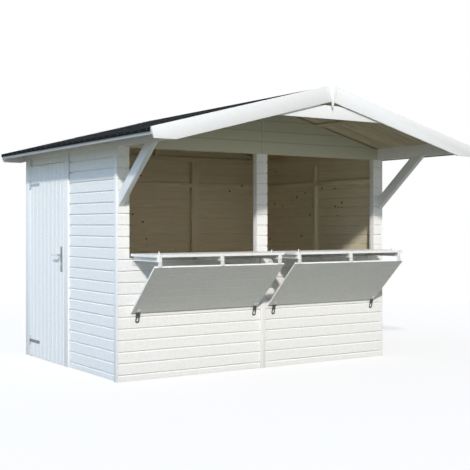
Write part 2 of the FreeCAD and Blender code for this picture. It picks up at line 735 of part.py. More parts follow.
# Strap hinges: straps and barrels on the door, plates and pins on the trim
straps = []
plates = []
for z in HINGE_Z:
    outline = [
        (PIVOT_Y, z - STRAP_BARREL / 2),
        (PIVOT_Y, z + STRAP_BARREL / 2),
        (PIVOT_Y - STRAP_LENGTH, z + STRAP_TIP / 2),
        (PIVOT_Y - STRAP_LENGTH, z - STRAP_TIP / 2),
    ]
    low = V(PIVOT_X, PIVOT_Y, z - STRAP_BARREL / 2)
    high = V(PIVOT_X, PIVOT_Y, z + STRAP_BARREL / 2)
    strap = profile_x(outline, DOOR_FACE - STRAP, DOOR_FACE)
    strap = joined([strap, rod(BARREL, low, high)])
    straps.append(strap.cut(rod(PIVOT_PIN + PIVOT_FIT, low, high)))
    plate_low = z - FIXED_PLATE_HEIGHT / 2
    plate_high = z + FIXED_PLATE_HEIGHT / 2
    plate = slab(
        DOOR_FACE - STRAP,
        DOOR_FACE,
        FRAME_DOOR_BACK,
        FRAME_DOOR_BACK + FIXED_PLATE_WIDTH,
        plate_low,
        plate_high,
    )
    barrel_room = slab(
        DOOR_FACE - STRAP,
        DOOR_FACE,
        FRAME_DOOR_BACK,
        PIVOT_Y + BARREL + KNUCKLE_GAP,
        low.z - KNUCKLE_GAP,
        high.z + KNUCKLE_GAP,
    )
    pieces = [plate.cut(barrel_room)]
    for start in (low.z - KNUCKLE_GAP - FIXED_BARREL, high.z + KNUCKLE_GAP):
        end = start + FIXED_BARREL
        pieces.append(rod(BARREL, V(PIVOT_X, PIVOT_Y, start), V(PIVOT_X, PIVOT_Y, end)))
        pieces.append(slab(DOOR_FACE - STRAP, DOOR_FACE, PIVOT_Y, FRAME_DOOR_BACK, start, end))
    pieces.append(
        rod(
            PIVOT_PIN,
            V(PIVOT_X, PIVOT_Y, low.z - KNUCKLE_GAP - FIXED_BARREL / 2),
            V(PIVOT_X, PIVOT_Y, high.z + KNUCKLE_GAP + FIXED_BARREL / 2),
        )
    )
    plates.append(joined(pieces))
export("door_straps", straps)
export("door_hinge_plates", plates)

# Lock plates on both faces, and the lever handle on its spindle through the door
lock_plates = []
for x in (DOOR_FACE - LOCK_PLATE, DOOR_INNER):
    plate = slab(
        x,
        x + LOCK_PLATE,
        LOCK_Y - LOCK_PLATE_WIDTH / 2,
        LOCK_Y + LOCK_PLATE_WIDTH / 2,
        LOCK_PLATE_BOTTOM,
        LOCK_PLATE_TOP,
    )
    lock_plates.append(plate.cut(rod(NECK + NECK_FIT, spindle_start, spindle_end)))
export("lock_plates", lock_plates)

neck_out = V(DOOR_FACE - LEVER_STANDOFF, LOCK_Y, LEVER_Z)
neck_in = V(DOOR_INNER + LEVER_STANDOFF, LOCK_Y, LEVER_Z)
grip = V(0, LEVER_LENGTH, 0)
lever = joined(
    [
        rod(NECK, neck_out, V(DOOR_FACE, LOCK_Y, LEVER_Z)),
        rod(SPINDLE, neck_out, neck_in),
        rod(NECK, V(DOOR_INNER, LOCK_Y, LEVER_Z), neck_in),
        Part.makeSphere(LEVER_RADIUS, neck_out),
        Part.makeSphere(LEVER_RADIUS, neck_in),
        Part.makeCone(LEVER_RADIUS, LEVER_TIP, LEVER_LENGTH, neck_out, grip),
        Part.makeCone(LEVER_RADIUS, LEVER_TIP, LEVER_LENGTH, neck_in, grip),
        Part.makeSphere(LEVER_TIP, neck_out + grip),
        Part.makeSphere(LEVER_TIP, neck_in + grip),
    ]
)
export("lever_handle", [lever])
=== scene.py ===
"""A boarded garden kiosk shed with folding serving hatches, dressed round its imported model.

Every size is in metres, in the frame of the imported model: +X runs along the front,
+Y to the back and +Z up. Boards, felt and fastenings are modelled here, and the
framing that is right as it stands keeps its solid and takes a finish.
"""
import logging
import math
import random
from contextlib import contextmanager
from dataclasses import dataclass, field
from enum import Enum
from typing import Callable, Iterable, Iterator

import bmesh
import bpy
from mathutils import Matrix, Vector, noise


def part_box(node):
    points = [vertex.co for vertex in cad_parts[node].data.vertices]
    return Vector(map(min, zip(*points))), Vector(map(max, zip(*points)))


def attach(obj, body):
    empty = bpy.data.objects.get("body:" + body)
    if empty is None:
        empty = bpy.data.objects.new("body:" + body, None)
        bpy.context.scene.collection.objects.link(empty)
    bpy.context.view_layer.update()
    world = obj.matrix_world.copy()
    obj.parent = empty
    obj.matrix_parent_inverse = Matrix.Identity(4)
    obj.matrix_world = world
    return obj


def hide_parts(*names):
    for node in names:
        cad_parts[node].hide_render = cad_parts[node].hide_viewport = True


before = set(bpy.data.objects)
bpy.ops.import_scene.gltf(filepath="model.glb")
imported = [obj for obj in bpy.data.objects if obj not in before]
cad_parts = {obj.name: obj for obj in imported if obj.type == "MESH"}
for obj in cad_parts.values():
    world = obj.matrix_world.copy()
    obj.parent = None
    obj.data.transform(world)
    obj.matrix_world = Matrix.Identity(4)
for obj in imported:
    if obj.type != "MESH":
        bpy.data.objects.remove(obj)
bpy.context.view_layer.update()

log = logging.getLogger("kiosk")
Colour = tuple[float, float, float]
Span = tuple[float, float]
Box = tuple[Vector, Vector]
Spots = list[tuple[Vector, Vector]]
Edge = bmesh.types.BMEdge
Face = bpy.types.MeshPolygon
Piece = bpy.types.Object
Material = bpy.types.Material
Tree = bpy.types.NodeTree
Sockets = bpy.types.bpy_prop_collection

PITCH = math.radians(14.6)
X, Y, Z = Vector((1, 0, 0)), Vector((0, 1, 0)), Vector((0, 0, 1))
HAIR = 1e-6
MERGE = 1e-5
VECTOR, FLOAT = "NodeSocketVector", "NodeSocketFloat"


class Run(Enum):
    """The way the grain runs on a piece."""

    ALONG_X = "x"
    ALONG_Y = "y"
    ALONG_Z = "z"
    DOWN_SLOPE = "slope"


class Body(Enum):
    """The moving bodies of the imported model."""

    SHED = "shed"
    DOOR = "door"
    LEVER = "lever"


class Element(Enum):
    """What is chosen in edit mode."""

    EDGES = "edges"
    FACES = "faces"


# ---------------------------------------------------------------- node trees


class Graph:
    """A node tree with short ways to add and link its nodes."""

    def __init__(self, tree: Tree) -> None:
        """Keeps the tree that the nodes go into."""
        self.tree = tree

    def add(self, kind: str, *inputs: object, **settings: object) -> bpy.types.Node:
        """Adds one node.

        Args:
            kind: Blender's name of the node's type.
            *inputs: values or sockets for its first inputs, in order.
            **settings: properties to set on it.

        Returns:
            The new node.
        """
        node = self.tree.nodes.new(kind)
        for key, value in settings.items():
            setattr(node, key, value)
        for socket, value in zip(node.inputs, inputs):
            self.feed(socket, value)
        return node

    def feed(self, socket: bpy.types.NodeSocket, value: object) -> None:
        """Links a socket to another, or sets it where a plain value is given."""
        if isinstance(value, bpy.types.NodeSocket):
            self.tree.links.new(value, socket)
        else:
            socket.default_value = value

    def feed_named(self, node: bpy.types.Node, inputs: dict[str, object]) -> None:
        """Feeds inputs of a node by their names."""
        for name, value in inputs.items():
            self.feed(node.inputs[name], value)

    def maths(self, operation: str, *values: object) -> object:
        """One sum of up to three values, returned as a socket."""
        return self.add("ShaderNodeMath", *values, operation=operation).outputs[0]

    def vector(self, operation: str, a: object, b: object) -> object:
        """One sum of two vectors, returned as a socket."""
        return self.add("ShaderNodeVectorMath", a, b, operation=operation).outputs[0]

    def ramp(self, value: object, spread: Span, to: Span = (0.0, 1.0)) -> object:
        """Maps a value smoothly from one span to another, returned as a socket."""
        kind = "ShaderNodeMapRange"
        node = self.add(kind, value, *spread, *to, interpolation_type="SMOOTHSTEP")
        return node.outputs["Result"]

    def blend(self, factor: object, a: object, b: object) -> object:
        """Mixes two colours, returned as a socket."""
        node = self.add("ShaderNodeMix", factor, data_type="RGBA")
        for socket, given in ((node.inputs[6], a), (node.inputs[7], b)):
            plain = not isinstance(given, bpy.types.NodeSocket)
            self.feed(socket, (*given, 1.0) if plain else given)
        return node.outputs[2]

    def noise(self, vector: object, scale: object, detail: float, rough: float) -> object:
        """A noise pattern, returned as a socket."""
        node = self.add("ShaderNodeTexNoise")
        given = {"Vector": vector, "Scale": scale, "Detail": detail, "Roughness": rough}
        self.feed_named(node, given)
        return node.outputs["Fac"]

    def cells(self, vector: object, scale: float) -> tuple[object, list[object]]:
        """A pattern of cells.

        Args:
            vector: the coordinates.
            scale: how many cells lie along a metre.

        Returns:
            The distance to a cell's middle, and three random values of the cell.
        """
        node = self.add("ShaderNodeTexVoronoi")
        self.feed_named(node, {"Vector": vector, "Scale": scale})
        chances = self.add("ShaderNodeSeparateColor", node.outputs["Color"]).outputs
        return node.outputs["Distance"], list(chances)

    def parts(self, vector: object) -> Sockets:
        """The X, Y and Z of a vector, as sockets."""
        return self.add("ShaderNodeSeparateXYZ", vector).outputs

    def use(self, effect: Tree, **inputs: object) -> Sockets:
        """Places a shared effect with its own values, and returns its outputs."""
        node = self.add("ShaderNodeGroup", node_tree=effect)
        self.feed_named(node, inputs)
        return node.outputs

    def seen(self) -> object:
        """1 on rays from the camera, a reflection or glass, and 0 on rays that carry light."""
        path = self.add("ShaderNodeLightPath").outputs
        direct = self.maths("MAXIMUM", path["Is Camera Ray"], path["Is Glossy Ray"])
        return self.maths("MAXIMUM", direct, path["Is Transmission Ray"])


@dataclass
class Effects:
    """The shared effects, each a node group that is built once."""

    board_shift: float = 61.7
    shift_shares: tuple[float, ...] = (1.0, 1.9, 0.7)
    figure: tuple[float, ...] = (0.9, 2.0, 0.4)
    rings: float = 46.0
    ring_share: float = 0.42
    streaks: tuple[float, ...] = (5.5, 5.0, 0.7)
    streak_share: float = 0.58
    knot_scale: float = 8.0
    knot_size: Span = (0.07, 0.13)
    knot_rarity: float = 0.66
    knot_dip: float = 0.6
    sharp_edges: Span = (0.515, 0.6)
    rubbing: tuple[float, ...] = (38.0, 5.0, 0.55)
    rubbed: Span = (0.42, 0.66)
    splashes: tuple[float, ...] = (23.0, 7.0, 0.65)
    splashed: Span = (0.38, 0.72)
    clouds: tuple[float, ...] = (1.7, 3.0, 0.55)
    tooth: tuple[float, ...] = (3.0, 0.5)

    def __post_init__(self) -> None:
        """Builds every group."""
        self.grain = self._grain()
        self.wear = self._wear()
        self.soil = self._soil()
        self.mottle = self._mottle()

    @staticmethod
    def _group(name: str, inputs: dict[str, str], outputs: tuple[str, ...]) -> tuple:
        """An empty group with its sockets.

        Args:
            name: the effect's name.
            inputs: socket types by name.
            outputs: names of the values that it gives.

        Returns:
            The graph, the values that come in, and the node that gives values out.
        """
        tree = bpy.data.node_groups.new(name, "ShaderNodeTree")
        for key, kind in inputs.items():
            tree.interface.new_socket(name=key, in_out="INPUT", socket_type=kind)
        for key in outputs:
            tree.interface.new_socket(name=key, in_out="OUTPUT", socket_type=FLOAT)
        graph = Graph(tree)
        return graph, graph.add("NodeGroupInput").outputs, graph.add("NodeGroupOutput")

    def _grain(self) -> Tree:
        """Softwood grain: growth lines, fine streaks and scattered knots."""
        graph, given, out = self._group(
            "timber_grain",
            {"Stretched": VECTOR, "Plain": VECTOR, "Board": FLOAT},
            ("Streak", "Knot", "Height"),
        )
        shift = graph.maths("MULTIPLY", given["Board"], self.board_shift)
        shifts = [graph.maths("MULTIPLY", shift, share) for share in self.shift_shares]
        spread = graph.add("ShaderNodeCombineXYZ", *shifts).outputs[0]
        own = graph.vector("ADD", given["Stretched"], spread)
        figure = graph.noise(own, *self.figure)
        rings = graph.maths("SINE", graph.maths("MULTIPLY", figure, self.rings))
        rings = graph.maths("MULTIPLY_ADD", rings, 0.5, 0.5)
        fine = graph.noise(own, *self.streaks)
        streak = graph.maths(
            "ADD",
            graph.maths("MULTIPLY", rings, self.ring_share),
            graph.maths("MULTIPLY", fine, self.streak_share),
        )
        place = graph.vector("ADD", given["Plain"], spread)
        distance, chances = graph.cells(place, self.knot_scale)
        near = graph.ramp(distance, self.knot_size, (1.0, 0.0))
        kept = graph.maths("GREATER_THAN", chances[0], self.knot_rarity)
        knot = graph.maths("MULTIPLY", near, kept)
        dip = graph.maths("MULTIPLY", knot, self.knot_dip)
        height = graph.maths("SUBTRACT", streak, dip)
        graph.feed_named(out, {"Streak": streak, "Knot": knot, "Height": height})
        return graph.tree

    def _wear(self) -> Tree:
        """Edges rubbed by hands and weather, broken up by noise."""
        sockets = {"Plain": VECTOR, "Amount": FLOAT}
        graph, given, out = self._group("edge_wear", sockets, ("Mask",))
        sharpness = graph.add("ShaderNodeNewGeometry").outputs["Pointiness"]
        edge = graph.ramp(sharpness, self.sharp_edges)
        patchy = graph.ramp(graph.noise(given["Plain"], *self.rubbing), self.rubbed)
        mask = graph.maths("MULTIPLY", graph.maths("MULTIPLY", edge, patchy), given["Amount"])
        graph.feed_named(out, {"Mask": mask})
        return graph.tree

    def _soil(self) -> Tree:
        """Splashed soil that fades upwards from the ground."""
        sockets = {"Plain": VECTOR, "Reach": FLOAT}
        graph, given, out = self._group("ground_soil", sockets, ("Mask",))
        level = graph.maths("DIVIDE", graph.parts(given["Plain"])["Z"], given["Reach"])
        fade = graph.ramp(level, (0.0, 1.0), (1.0, 0.0))
        spots = graph.ramp(graph.noise(given["Plain"], *self.splashes), self.splashed)
        graph.feed_named(out, {"Mask": graph.maths("MULTIPLY", fade, spots)})
        return graph.tree

    def _mottle(self) -> Tree:
        """Broad cloudy change over a fine tooth, for paint, metal and felt."""
        sockets = {"Plain": VECTOR, "Fine": FLOAT}
        graph, given, out = self._group("mottle", sockets, ("Cloud", "Tooth"))
        cloud = graph.noise(given["Plain"], *self.clouds)
        tooth = graph.noise(given["Plain"], given["Fine"], *self.tooth)
        graph.feed_named(out, {"Cloud": cloud, "Tooth": tooth})
        return graph.tree


# ---------------------------------------------------------------- finishes


class Coat:
    """A material under way: its graph, its shader and the colour built up so far."""

    def __init__(self, name: str, effects: Effects, colour: Colour) -> None:
        """Starts a material in one plain colour, on Object coordinates."""
        self.made = bpy.data.materials.new(name)
        self.made.use_nodes = True
        self.graph = Graph(self.made.node_tree)
        self.shader = self.made.node_tree.nodes["Principled BSDF"]
        self.plain = self.graph.add("ShaderNodeTexCoord").outputs["Object"]
        self.effects = effects
        self.colour: object = colour

    def mix(self, share: object, colour: Colour) -> None:
        """Mixes a colour in by a share."""
        self.colour = self.graph.blend(share, self.colour, colour)

    def tint(self, value: object, spread: Span, share: float, colour: Colour) -> None:
        """Mixes a colour in, up to a share, where a value climbs through a span."""
        self.mix(self.graph.ramp(value, spread, (0.0, share)), colour)

    def stain(self, mask: object, share: float, colour: Colour) -> None:
        """Mixes a share of a colour in where a mask shows."""
        self.mix(self.graph.maths("MULTIPLY", mask, share), colour)

    def closer(self, times: float) -> object:
        """The coordinates, drawn together so that a pattern comes out finer."""
        return self.graph.vector("MULTIPLY", self.plain, (times,) * 3)

    def wear(self, place: object, amount: float, colour: Colour) -> None:
        """Rubs the edges through to another colour."""
        self.mix(self.graph.use(self.effects.wear, Plain=place, Amount=amount)["Mask"], colour)

    def grain(self, run: Run, fine: float) -> tuple[Sockets, object]:
        """Places the grain so that it follows the timber.

        Args:
            run: the way the grain runs.
            fine: the grain's scale across the board.

        Returns:
            What the grain gives, and the board's own random value.
        """
        graph = self.graph
        board = graph.add("ShaderNodeAttribute", attribute_name="board").outputs["Fac"]
        turned = self.plain
        if run is Run.DOWN_SLOPE:
            parts = graph.parts(self.plain)
            mirrored = graph.maths("ABSOLUTE", parts[0])
            folded = graph.add("ShaderNodeCombineXYZ", mirrored, parts[1], parts[2])
            turn = graph.add("ShaderNodeVectorRotate", rotation_type="Y_AXIS")
            graph.feed_named(turn, {"Vector": folded.outputs[0], "Angle": -PITCH})
            turned = turn.outputs[0]
        along = 1.3
        scales = {
            Run.ALONG_X: (along, fine, fine),
            Run.ALONG_Y: (fine, along, fine),
            Run.ALONG_Z: (fine, fine, along),
            Run.DOWN_SLOPE: (along, fine, fine),
        }[run]
        stretched = graph.vector("MULTIPLY", turned, scales)
        grain = graph.use(self.effects.grain, Stretched=stretched, Plain=turned, Board=board)
        return grain, board

    def finish(
        self, rough: object, height: object, bump: Span, constants: dict[str, float]
    ) -> Material:
        """Links everything to the shader.

        Args:
            rough: the roughness.
            height: the relief's height.
            bump: the relief's strength and its depth in metres.
            constants: plain values of the shader's other inputs.

        Returns:
            The finished material.
        """
        relief = self.graph.add("ShaderNodeBump")
        given = {"Strength": bump[0], "Distance": bump[1], "Height": height}
        self.graph.feed_named(relief, given)
        given = {"Base Color": self.colour, "Roughness": rough, "Normal": relief.outputs[0]}
        self.graph.feed_named(self.shader, {**given, **constants})
        return self.made


@dataclass(frozen=True)
class Bare:
    """Unpainted softwood with growth lines and knots."""

    name: str
    run: Run
    base: Colour = (0.85, 0.77, 0.58)
    late: Colour = (0.71, 0.62, 0.44)
    knot: Colour = (0.13, 0.07, 0.035)
    rough: Span = (0.62, 0.78)
    fine: float = 26.0
    tooth: float = 300.0
    streaks: Span = (0.3, 0.85)
    streaking: float = 0.7
    toning: float = 0.42
    clouding: float = 0.25
    knotting: float = 0.85
    specular: float = 0.25
    bump: Span = (0.4, 0.0007)
    toothing: float = 0.2
    clouds: Span = (0.35, 0.7)
    rough_streaks: Span = (0.3, 0.8)

    def material(self, effects: Effects) -> Material:
        """Builds the material from the shared effects."""
        coat = Coat(self.name, effects, self.base)
        grain, board = coat.grain(self.run, self.fine)
        mottle = coat.graph.use(effects.mottle, Plain=coat.plain, Fine=self.tooth)
        coat.tint(grain["Streak"], self.streaks, self.streaking, self.late)
        coat.tint(board, (0.0, 1.0), self.toning, self.late)
        coat.tint(mottle["Cloud"], self.clouds, self.clouding, self.late)
        coat.stain(grain["Knot"], self.knotting, self.knot)
        self.weather(coat)
        rough = coat.graph.ramp(grain["Streak"], self.rough_streaks, self.rough)
        tooth = coat.graph.maths("MULTIPLY", mottle["Tooth"], self.toothing)
        height = coat.graph.maths("ADD", grain["Height"], tooth)
        return coat.finish(rough, height, self.bump, {"Specular IOR Level": self.specular})

    def weather(self, coat: Coat) -> None:
        """Timber under the roof shows no weather."""


@dataclass(frozen=True)
class Paint(Bare):
    """White paint over timber: grain telegraphs through, knots stain it, soil creeps up."""

    base: Colour = (0.875, 0.865, 0.84)
    late: Colour = (0.79, 0.775, 0.735)
    knot: Colour = (0.66, 0.6, 0.47)
    rough: Span = (0.47, 0.66)
    fine: float = 24.0
    tooth: float = 420.0
    streaks: Span = (0.42, 0.78)
    streaking: float = 0.09
    toning: float = 0.08
    clouding: float = 0.03
    knotting: float = 0.07
    specular: float = 0.3
    bump: Span = (0.09, 0.0005)
    toothing: float = 0.15
    worn: Colour = (0.6, 0.52, 0.4)
    wearing: float = 0.12
    soil: Colour = (0.42, 0.4, 0.33)
    soiling: float = 0.06
    splash: float = 0.3

    def weather(self, coat: Coat) -> None:
        """Rubs the edges and splashes soil on the foot."""
        coat.wear(coat.plain, self.wearing, self.worn)
        soil = coat.graph.use(coat.effects.soil, Plain=coat.plain, Reach=self.splash)
        coat.stain(soil["Mask"], self.soiling, self.soil)


@dataclass(frozen=True)
class Felt:
    """Mineral roofing felt: charcoal with pale and dark grains."""

    name: str
    base: Colour = (0.0065, 0.008, 0.0105)
    pale: Colour = (0.027, 0.03, 0.037)
    dusty: Colour = (0.0105, 0.012, 0.0135)
    rough: Span = (0.88, 1.0)
    tooth: float = 520.0
    grains: float = 480.0
    bump: Span = (0.6, 0.0011)
    specular: float = 0.04
    grained: Span = (0.55, 1.0)
    graining: float = 0.8
    clouds: Span = (0.35, 0.68)
    clouding: float = 0.5
    toothed: Span = (0.3, 0.7)

    def material(self, effects: Effects) -> Material:
        """Builds the material from the shared effects."""
        coat = Coat(self.name, effects, self.base)
        mottle = coat.graph.use(effects.mottle, Plain=coat.plain, Fine=self.tooth)
        chances = coat.graph.cells(coat.plain, self.grains)[1]
        coat.tint(chances[0], self.grained, self.graining, self.pale)
        coat.tint(mottle["Cloud"], self.clouds, self.clouding, self.dusty)
        rough = coat.graph.ramp(mottle["Tooth"], self.toothed, self.rough)
        height = coat.graph.maths("ADD", chances[1], mottle["Tooth"])
        return coat.finish(rough, height, self.bump, {"Specular IOR Level": self.specular})


@dataclass(frozen=True)
class Metal:
    """Plated, painted or brushed metal with a fine tooth and rubbed edges."""

    name: str
    colour: Colour
    stained: Colour
    rubbed: Colour
    metallic: float
    rough: float
    tooth: float = 260.0
    cloud_scale: float = 9.0
    wear_scale: float = 4.0
    wearing: float = 0.5
    bump: Span = (0.15, 0.0002)
    clouds: Span = (0.35, 0.68)
    clouding: float = 0.6
    toothed: Span = (0.3, 0.7)
    smoother: float = 0.06
    rougher: float = 0.1

    def material(self, effects: Effects) -> Material:
        """Builds the material from the shared effects."""
        coat = Coat(self.name, effects, self.colour)
        mottle = coat.graph.use(
            effects.mottle, Plain=coat.closer(self.cloud_scale), Fine=self.tooth / self.cloud_scale
        )
        coat.tint(mottle["Cloud"], self.clouds, self.clouding, self.stained)
        coat.wear(coat.closer(self.wear_scale), self.wearing, self.rubbed)
        span = (self.rough - self.smoother, self.rough + self.rougher)
        rough = coat.graph.ramp(mottle["Tooth"], self.toothed, span)
        return coat.finish(rough, mottle["Tooth"], self.bump, {"Metallic": self.metallic})


class Finishes:
    """Every finish of the shed, built once and handed out by name."""

    def __init__(self) -> None:
        """Builds the effects and the materials."""
        along_x, along_y, slope = Run.ALONG_X, Run.ALONG_Y, Run.DOWN_SLOPE
        roof = ((0.7, 0.61, 0.44), (0.4, 0.32, 0.215), (0.1, 0.06, 0.03))
        treated = ((0.235, 0.225, 0.11), (0.14, 0.125, 0.06), (0.06, 0.04, 0.02))
        made: list[Bare | Felt | Metal] = [
            Paint("barge_paint", slope, (0.8, 0.795, 0.785), (0.73, 0.72, 0.7)),
            Paint("tie_paint", along_x, (0.77, 0.765, 0.75), (0.71, 0.7, 0.67)),
            # The front gable's white paint, darkened and yellowed as painted shade from the canopy.
            Paint("gable_painted_shade", along_x, (0.585, 0.57, 0.45), (0.535, 0.515, 0.395)),
            # The eave fascias' white paint, greyed as painted shade under the felt's drip edge.
            Paint("fascia_painted_shade", along_y, (0.44, 0.455, 0.45), (0.39, 0.4, 0.39)),
            Bare("roof_pine", slope, *roof),
            Bare("roof_pine_y", along_y, *roof),
            Bare("treated_pine", along_x, *treated),
            Felt("roofing_felt"),
        ]
        for run in (along_x, along_y, Run.ALONG_Z):
            made.append(Paint("white_paint_" + run.value, run))
            made.append(Bare("bare_pine_" + run.value, run))
        for name, colour, stained, rubbed, metallic, rough in (
            ("white_coated", (0.8, 0.8, 0.79), (0.73, 0.73, 0.71), (0.5, 0.5, 0.5), 0.0, 0.38),
            ("bright_zinc", (0.62, 0.63, 0.64), (0.5, 0.51, 0.52), (0.75, 0.75, 0.75), 0.6, 0.4),
            # Upper door strap: the same zinc as the lower one, with a bluish painted sky reflection
            # in its colour.
            ("zinc_painted_sky_sheen", (0.42, 0.5, 0.56), (0.36, 0.43, 0.48), (0.6, 0.64, 0.68), 0.3, 0.45),
            ("galvanised", (0.28, 0.31, 0.31), (0.2, 0.22, 0.22), (0.55, 0.57, 0.57), 0.8, 0.42),
            # Lower door strap: the same zinc as the upper one, darkened as a painted reflection of
            # the ground.
            ("zinc_painted_ground_shade", (0.26, 0.258, 0.265), (0.17, 0.168, 0.17), (0.4, 0.4, 0.4), 0.5, 0.5),
            ("dark_zinc", (0.11, 0.108, 0.105), (0.06, 0.058, 0.055), (0.3, 0.29, 0.28), 0.7, 0.45),
            ("satin_nickel", (0.7, 0.71, 0.71), (0.54, 0.55, 0.55), (0.88, 0.88, 0.88), 1.0, 0.24),
        ):
            made.append(Metal(name, colour, stained, rubbed, metallic, rough))
        effects = Effects()
        self.table = {finish.name: finish.material(effects) for finish in made}

    def __getitem__(self, name: str) -> Material:
        """The material of that name."""
        return self.table[name]


# ---------------------------------------------------------------- the bench


def length_along(edge: Edge, axis: int) -> float:
    """How far an edge runs along an axis, 0 for X to 2 for Z."""
    return abs(edge.verts[0].co[axis] - edge.verts[1].co[axis])


def lies_past(edge: Edge, way: Vector, level: float) -> bool:
    """Whether both ends of an edge reach a level in a direction."""
    return all(way.dot(v.co) > level - HAIR for v in edge.verts)


def islands(mesh: bmesh.types.BMesh) -> Iterator[list[bmesh.types.BMVert]]:
    """The vertices of each loose part of a mesh, in the order of their first ones."""
    met: set[bmesh.types.BMVert] = set()
    for first in mesh.verts:
        if first in met:
            continue
        met.add(first)
        island = [first]
        for vertex in island:
            for edge in vertex.link_edges:
                other = edge.other_vert(vertex)
                if other not in met:
                    met.add(other)
                    island.append(other)
        yield island


def solid_boxes(node: str) -> list[Box]:
    """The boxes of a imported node's solids, from left to right and front to back.

    Args:
        node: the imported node.

    Returns:
        A low and a high corner for each solid.
    """
    mesh = bmesh.new()
    mesh.from_mesh(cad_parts[node].data)
    bmesh.ops.remove_doubles(mesh, verts=mesh.verts, dist=MERGE)
    boxes: list[Box] = []
    for island in islands(mesh):
        spans = [[v.co[axis] for v in island] for axis in range(3)]
        boxes.append((Vector([min(span) for span in spans]), Vector([max(span) for span in spans])))
    mesh.free()
    return sorted(boxes, key=lambda box: tuple(round(value, 4) for value in box[0]))


class Bench:
    """The modelling bench: primitives, edit-mode work and joins through Blender's operators."""

    def __init__(self, seed: int, finishes: Finishes) -> None:
        """Starts with nothing selected, a seeded run of chance and the finishes at hand."""
        self.chance = random.Random(seed)
        self.finishes = finishes
        self.count = 0
        bpy.ops.object.select_all(action="DESELECT")

    @staticmethod
    def pick(*pieces: Piece) -> None:
        """Selects only these pieces, the first one active."""
        bpy.ops.object.select_all(action="DESELECT")
        for piece in pieces:
            piece.select_set(True)
        bpy.context.view_layer.objects.active = pieces[0]

    @contextmanager
    def editing(self, piece: Piece, every: bool = True) -> Iterator[None]:
        """Opens a piece in edit mode with all or none of it chosen, and closes it after."""
        self.pick(piece)
        bpy.ops.object.mode_set(mode="EDIT")
        bpy.ops.mesh.select_all(action="SELECT" if every else "DESELECT")
        yield
        bpy.ops.object.mode_set(mode="OBJECT")

    @staticmethod
    def choose(piece: Piece, kind: Element, wanted: Callable[[object], bool]) -> None:
        """Chooses the wanted edges or faces of a piece that is open in edit mode."""
        modes = (False, kind is Element.EDGES, kind is Element.FACES)
        bpy.context.tool_settings.mesh_select_mode = modes
        mesh = bmesh.from_edit_mesh(piece.data)
        for element in mesh.edges if kind is Element.EDGES else mesh.faces:
            element.select_set(wanted(element))
        bmesh.update_edit_mesh(piece.data)

    @staticmethod
    def settle(name: str) -> Piece:
        """Names the new primitive and puts its place into its mesh."""
        piece = bpy.context.active_object
        piece.name = name
        bpy.ops.object.transform_apply(location=True, rotation=True, scale=True)
        return piece

    def block(self, name: str, low: Vector, high: Vector) -> Piece:
        """A board between two corners."""
        bpy.ops.object.select_all(action="DESELECT")
        middle = [(a + b) / 2 for a, b in zip(low, high)]
        size = [b - a for a, b in zip(low, high)]
        bpy.ops.mesh.primitive_cube_add(size=1.0, location=middle, scale=size)
        return self.settle(name)

    def rod(
        self, name: str, centre: Vector, axis: Vector, radius: float, depth: float, sides: int
    ) -> Piece:
        """A round bar.

        Args:
            name: the piece's name.
            centre: its middle.
            axis: the way it points.
            radius: its radius.
            depth: its length.
            sides: how many faces go round it.

        Returns:
            The new piece.
        """
        bpy.ops.object.select_all(action="DESELECT")
        turn = Vector(axis).to_track_quat("Z", "Y").to_euler()
        bpy.ops.mesh.primitive_cylinder_add(
            vertices=sides, radius=radius, depth=depth, location=centre, rotation=turn
        )
        return self.settle(name)

    def bevel(
        self,
        piece: Piece,
        width: float,
        steps: int,
        wanted: Callable[[Edge], bool],
        profile: float = 0.5,
    ) -> None:
        """Bevels chosen edges in edit mode.

        Args:
            piece: what is worked on.
            width: the bevel's width.
            steps: its segments.
            wanted: says of each edge whether it is bevelled.
            profile: 0.5 rounds the edge, and 0 cuts a square rebate into it.
        """
        with self.editing(piece, every=False):
            self.choose(piece, Element.EDGES, wanted)
            bpy.ops.mesh.bevel(offset=width, segments=steps, profile=profile, affect="EDGES")

    def cut(self, piece: Piece, point: Vector, normal: Vector) -> None:
        """Cuts off what lies on the normal's side of a plane and closes the cut."""
        with self.editing(piece):
            bpy.ops.mesh.bisect(plane_co=point, plane_no=normal, use_fill=True, clear_outer=True)

    def copy(self, piece: Piece, move: Matrix) -> Piece:
        """A copy with its own mesh, moved."""
        other = piece.copy()
        other.data = piece.data.copy()
        other.data.transform(move)
        bpy.context.scene.collection.objects.link(other)
        return other

    def row(self, first: Piece, moves: Iterable[Matrix]) -> list[Piece]:
        """Copies of a board, each toned on its own, in place of the first one."""
        boards = []
        for move in moves:
            boards.append(self.copy(first, move))
            self.tone(boards[-1])
        bpy.data.objects.remove(first)
        return boards

    def tone(self, piece: Piece) -> None:
        """Gives the piece a random value of its own, which its finish reads."""
        layers = piece.data.attributes
        layer = layers.get("board") or layers.new("board", "FLOAT", "POINT")
        layer.data.foreach_set("value", [self.chance.random()] * len(piece.data.vertices))

    def tone_islands(self, piece: Piece) -> None:
        """Gives each loose solid of a piece a random value of its own."""
        mesh = bmesh.new()
        mesh.from_mesh(piece.data)
        layer = mesh.verts.layers.float.new("board")
        for island in islands(mesh):
            value = self.chance.random()
            for vertex in island:
                vertex[layer] = value
        mesh.to_mesh(piece.data)
        mesh.free()

    def join(self, name: str, pieces: list[Piece]) -> Piece:
        """Joins pieces into one object."""
        self.pick(*pieces)
        if len(pieces) > 1:
            bpy.ops.object.join()
        whole = bpy.context.active_object
        whole.name = name
        whole.data.name = name
        return whole

    def modify(self, piece: Piece, kind: str, **settings: object) -> None:
        """Adds one modifier and applies it."""
        self.pick(piece)
        modifier = piece.modifiers.new(kind.lower(), kind)
        for key, value in settings.items():
            setattr(modifier, key, value)
        bpy.ops.object.modifier_apply(modifier=modifier.name)

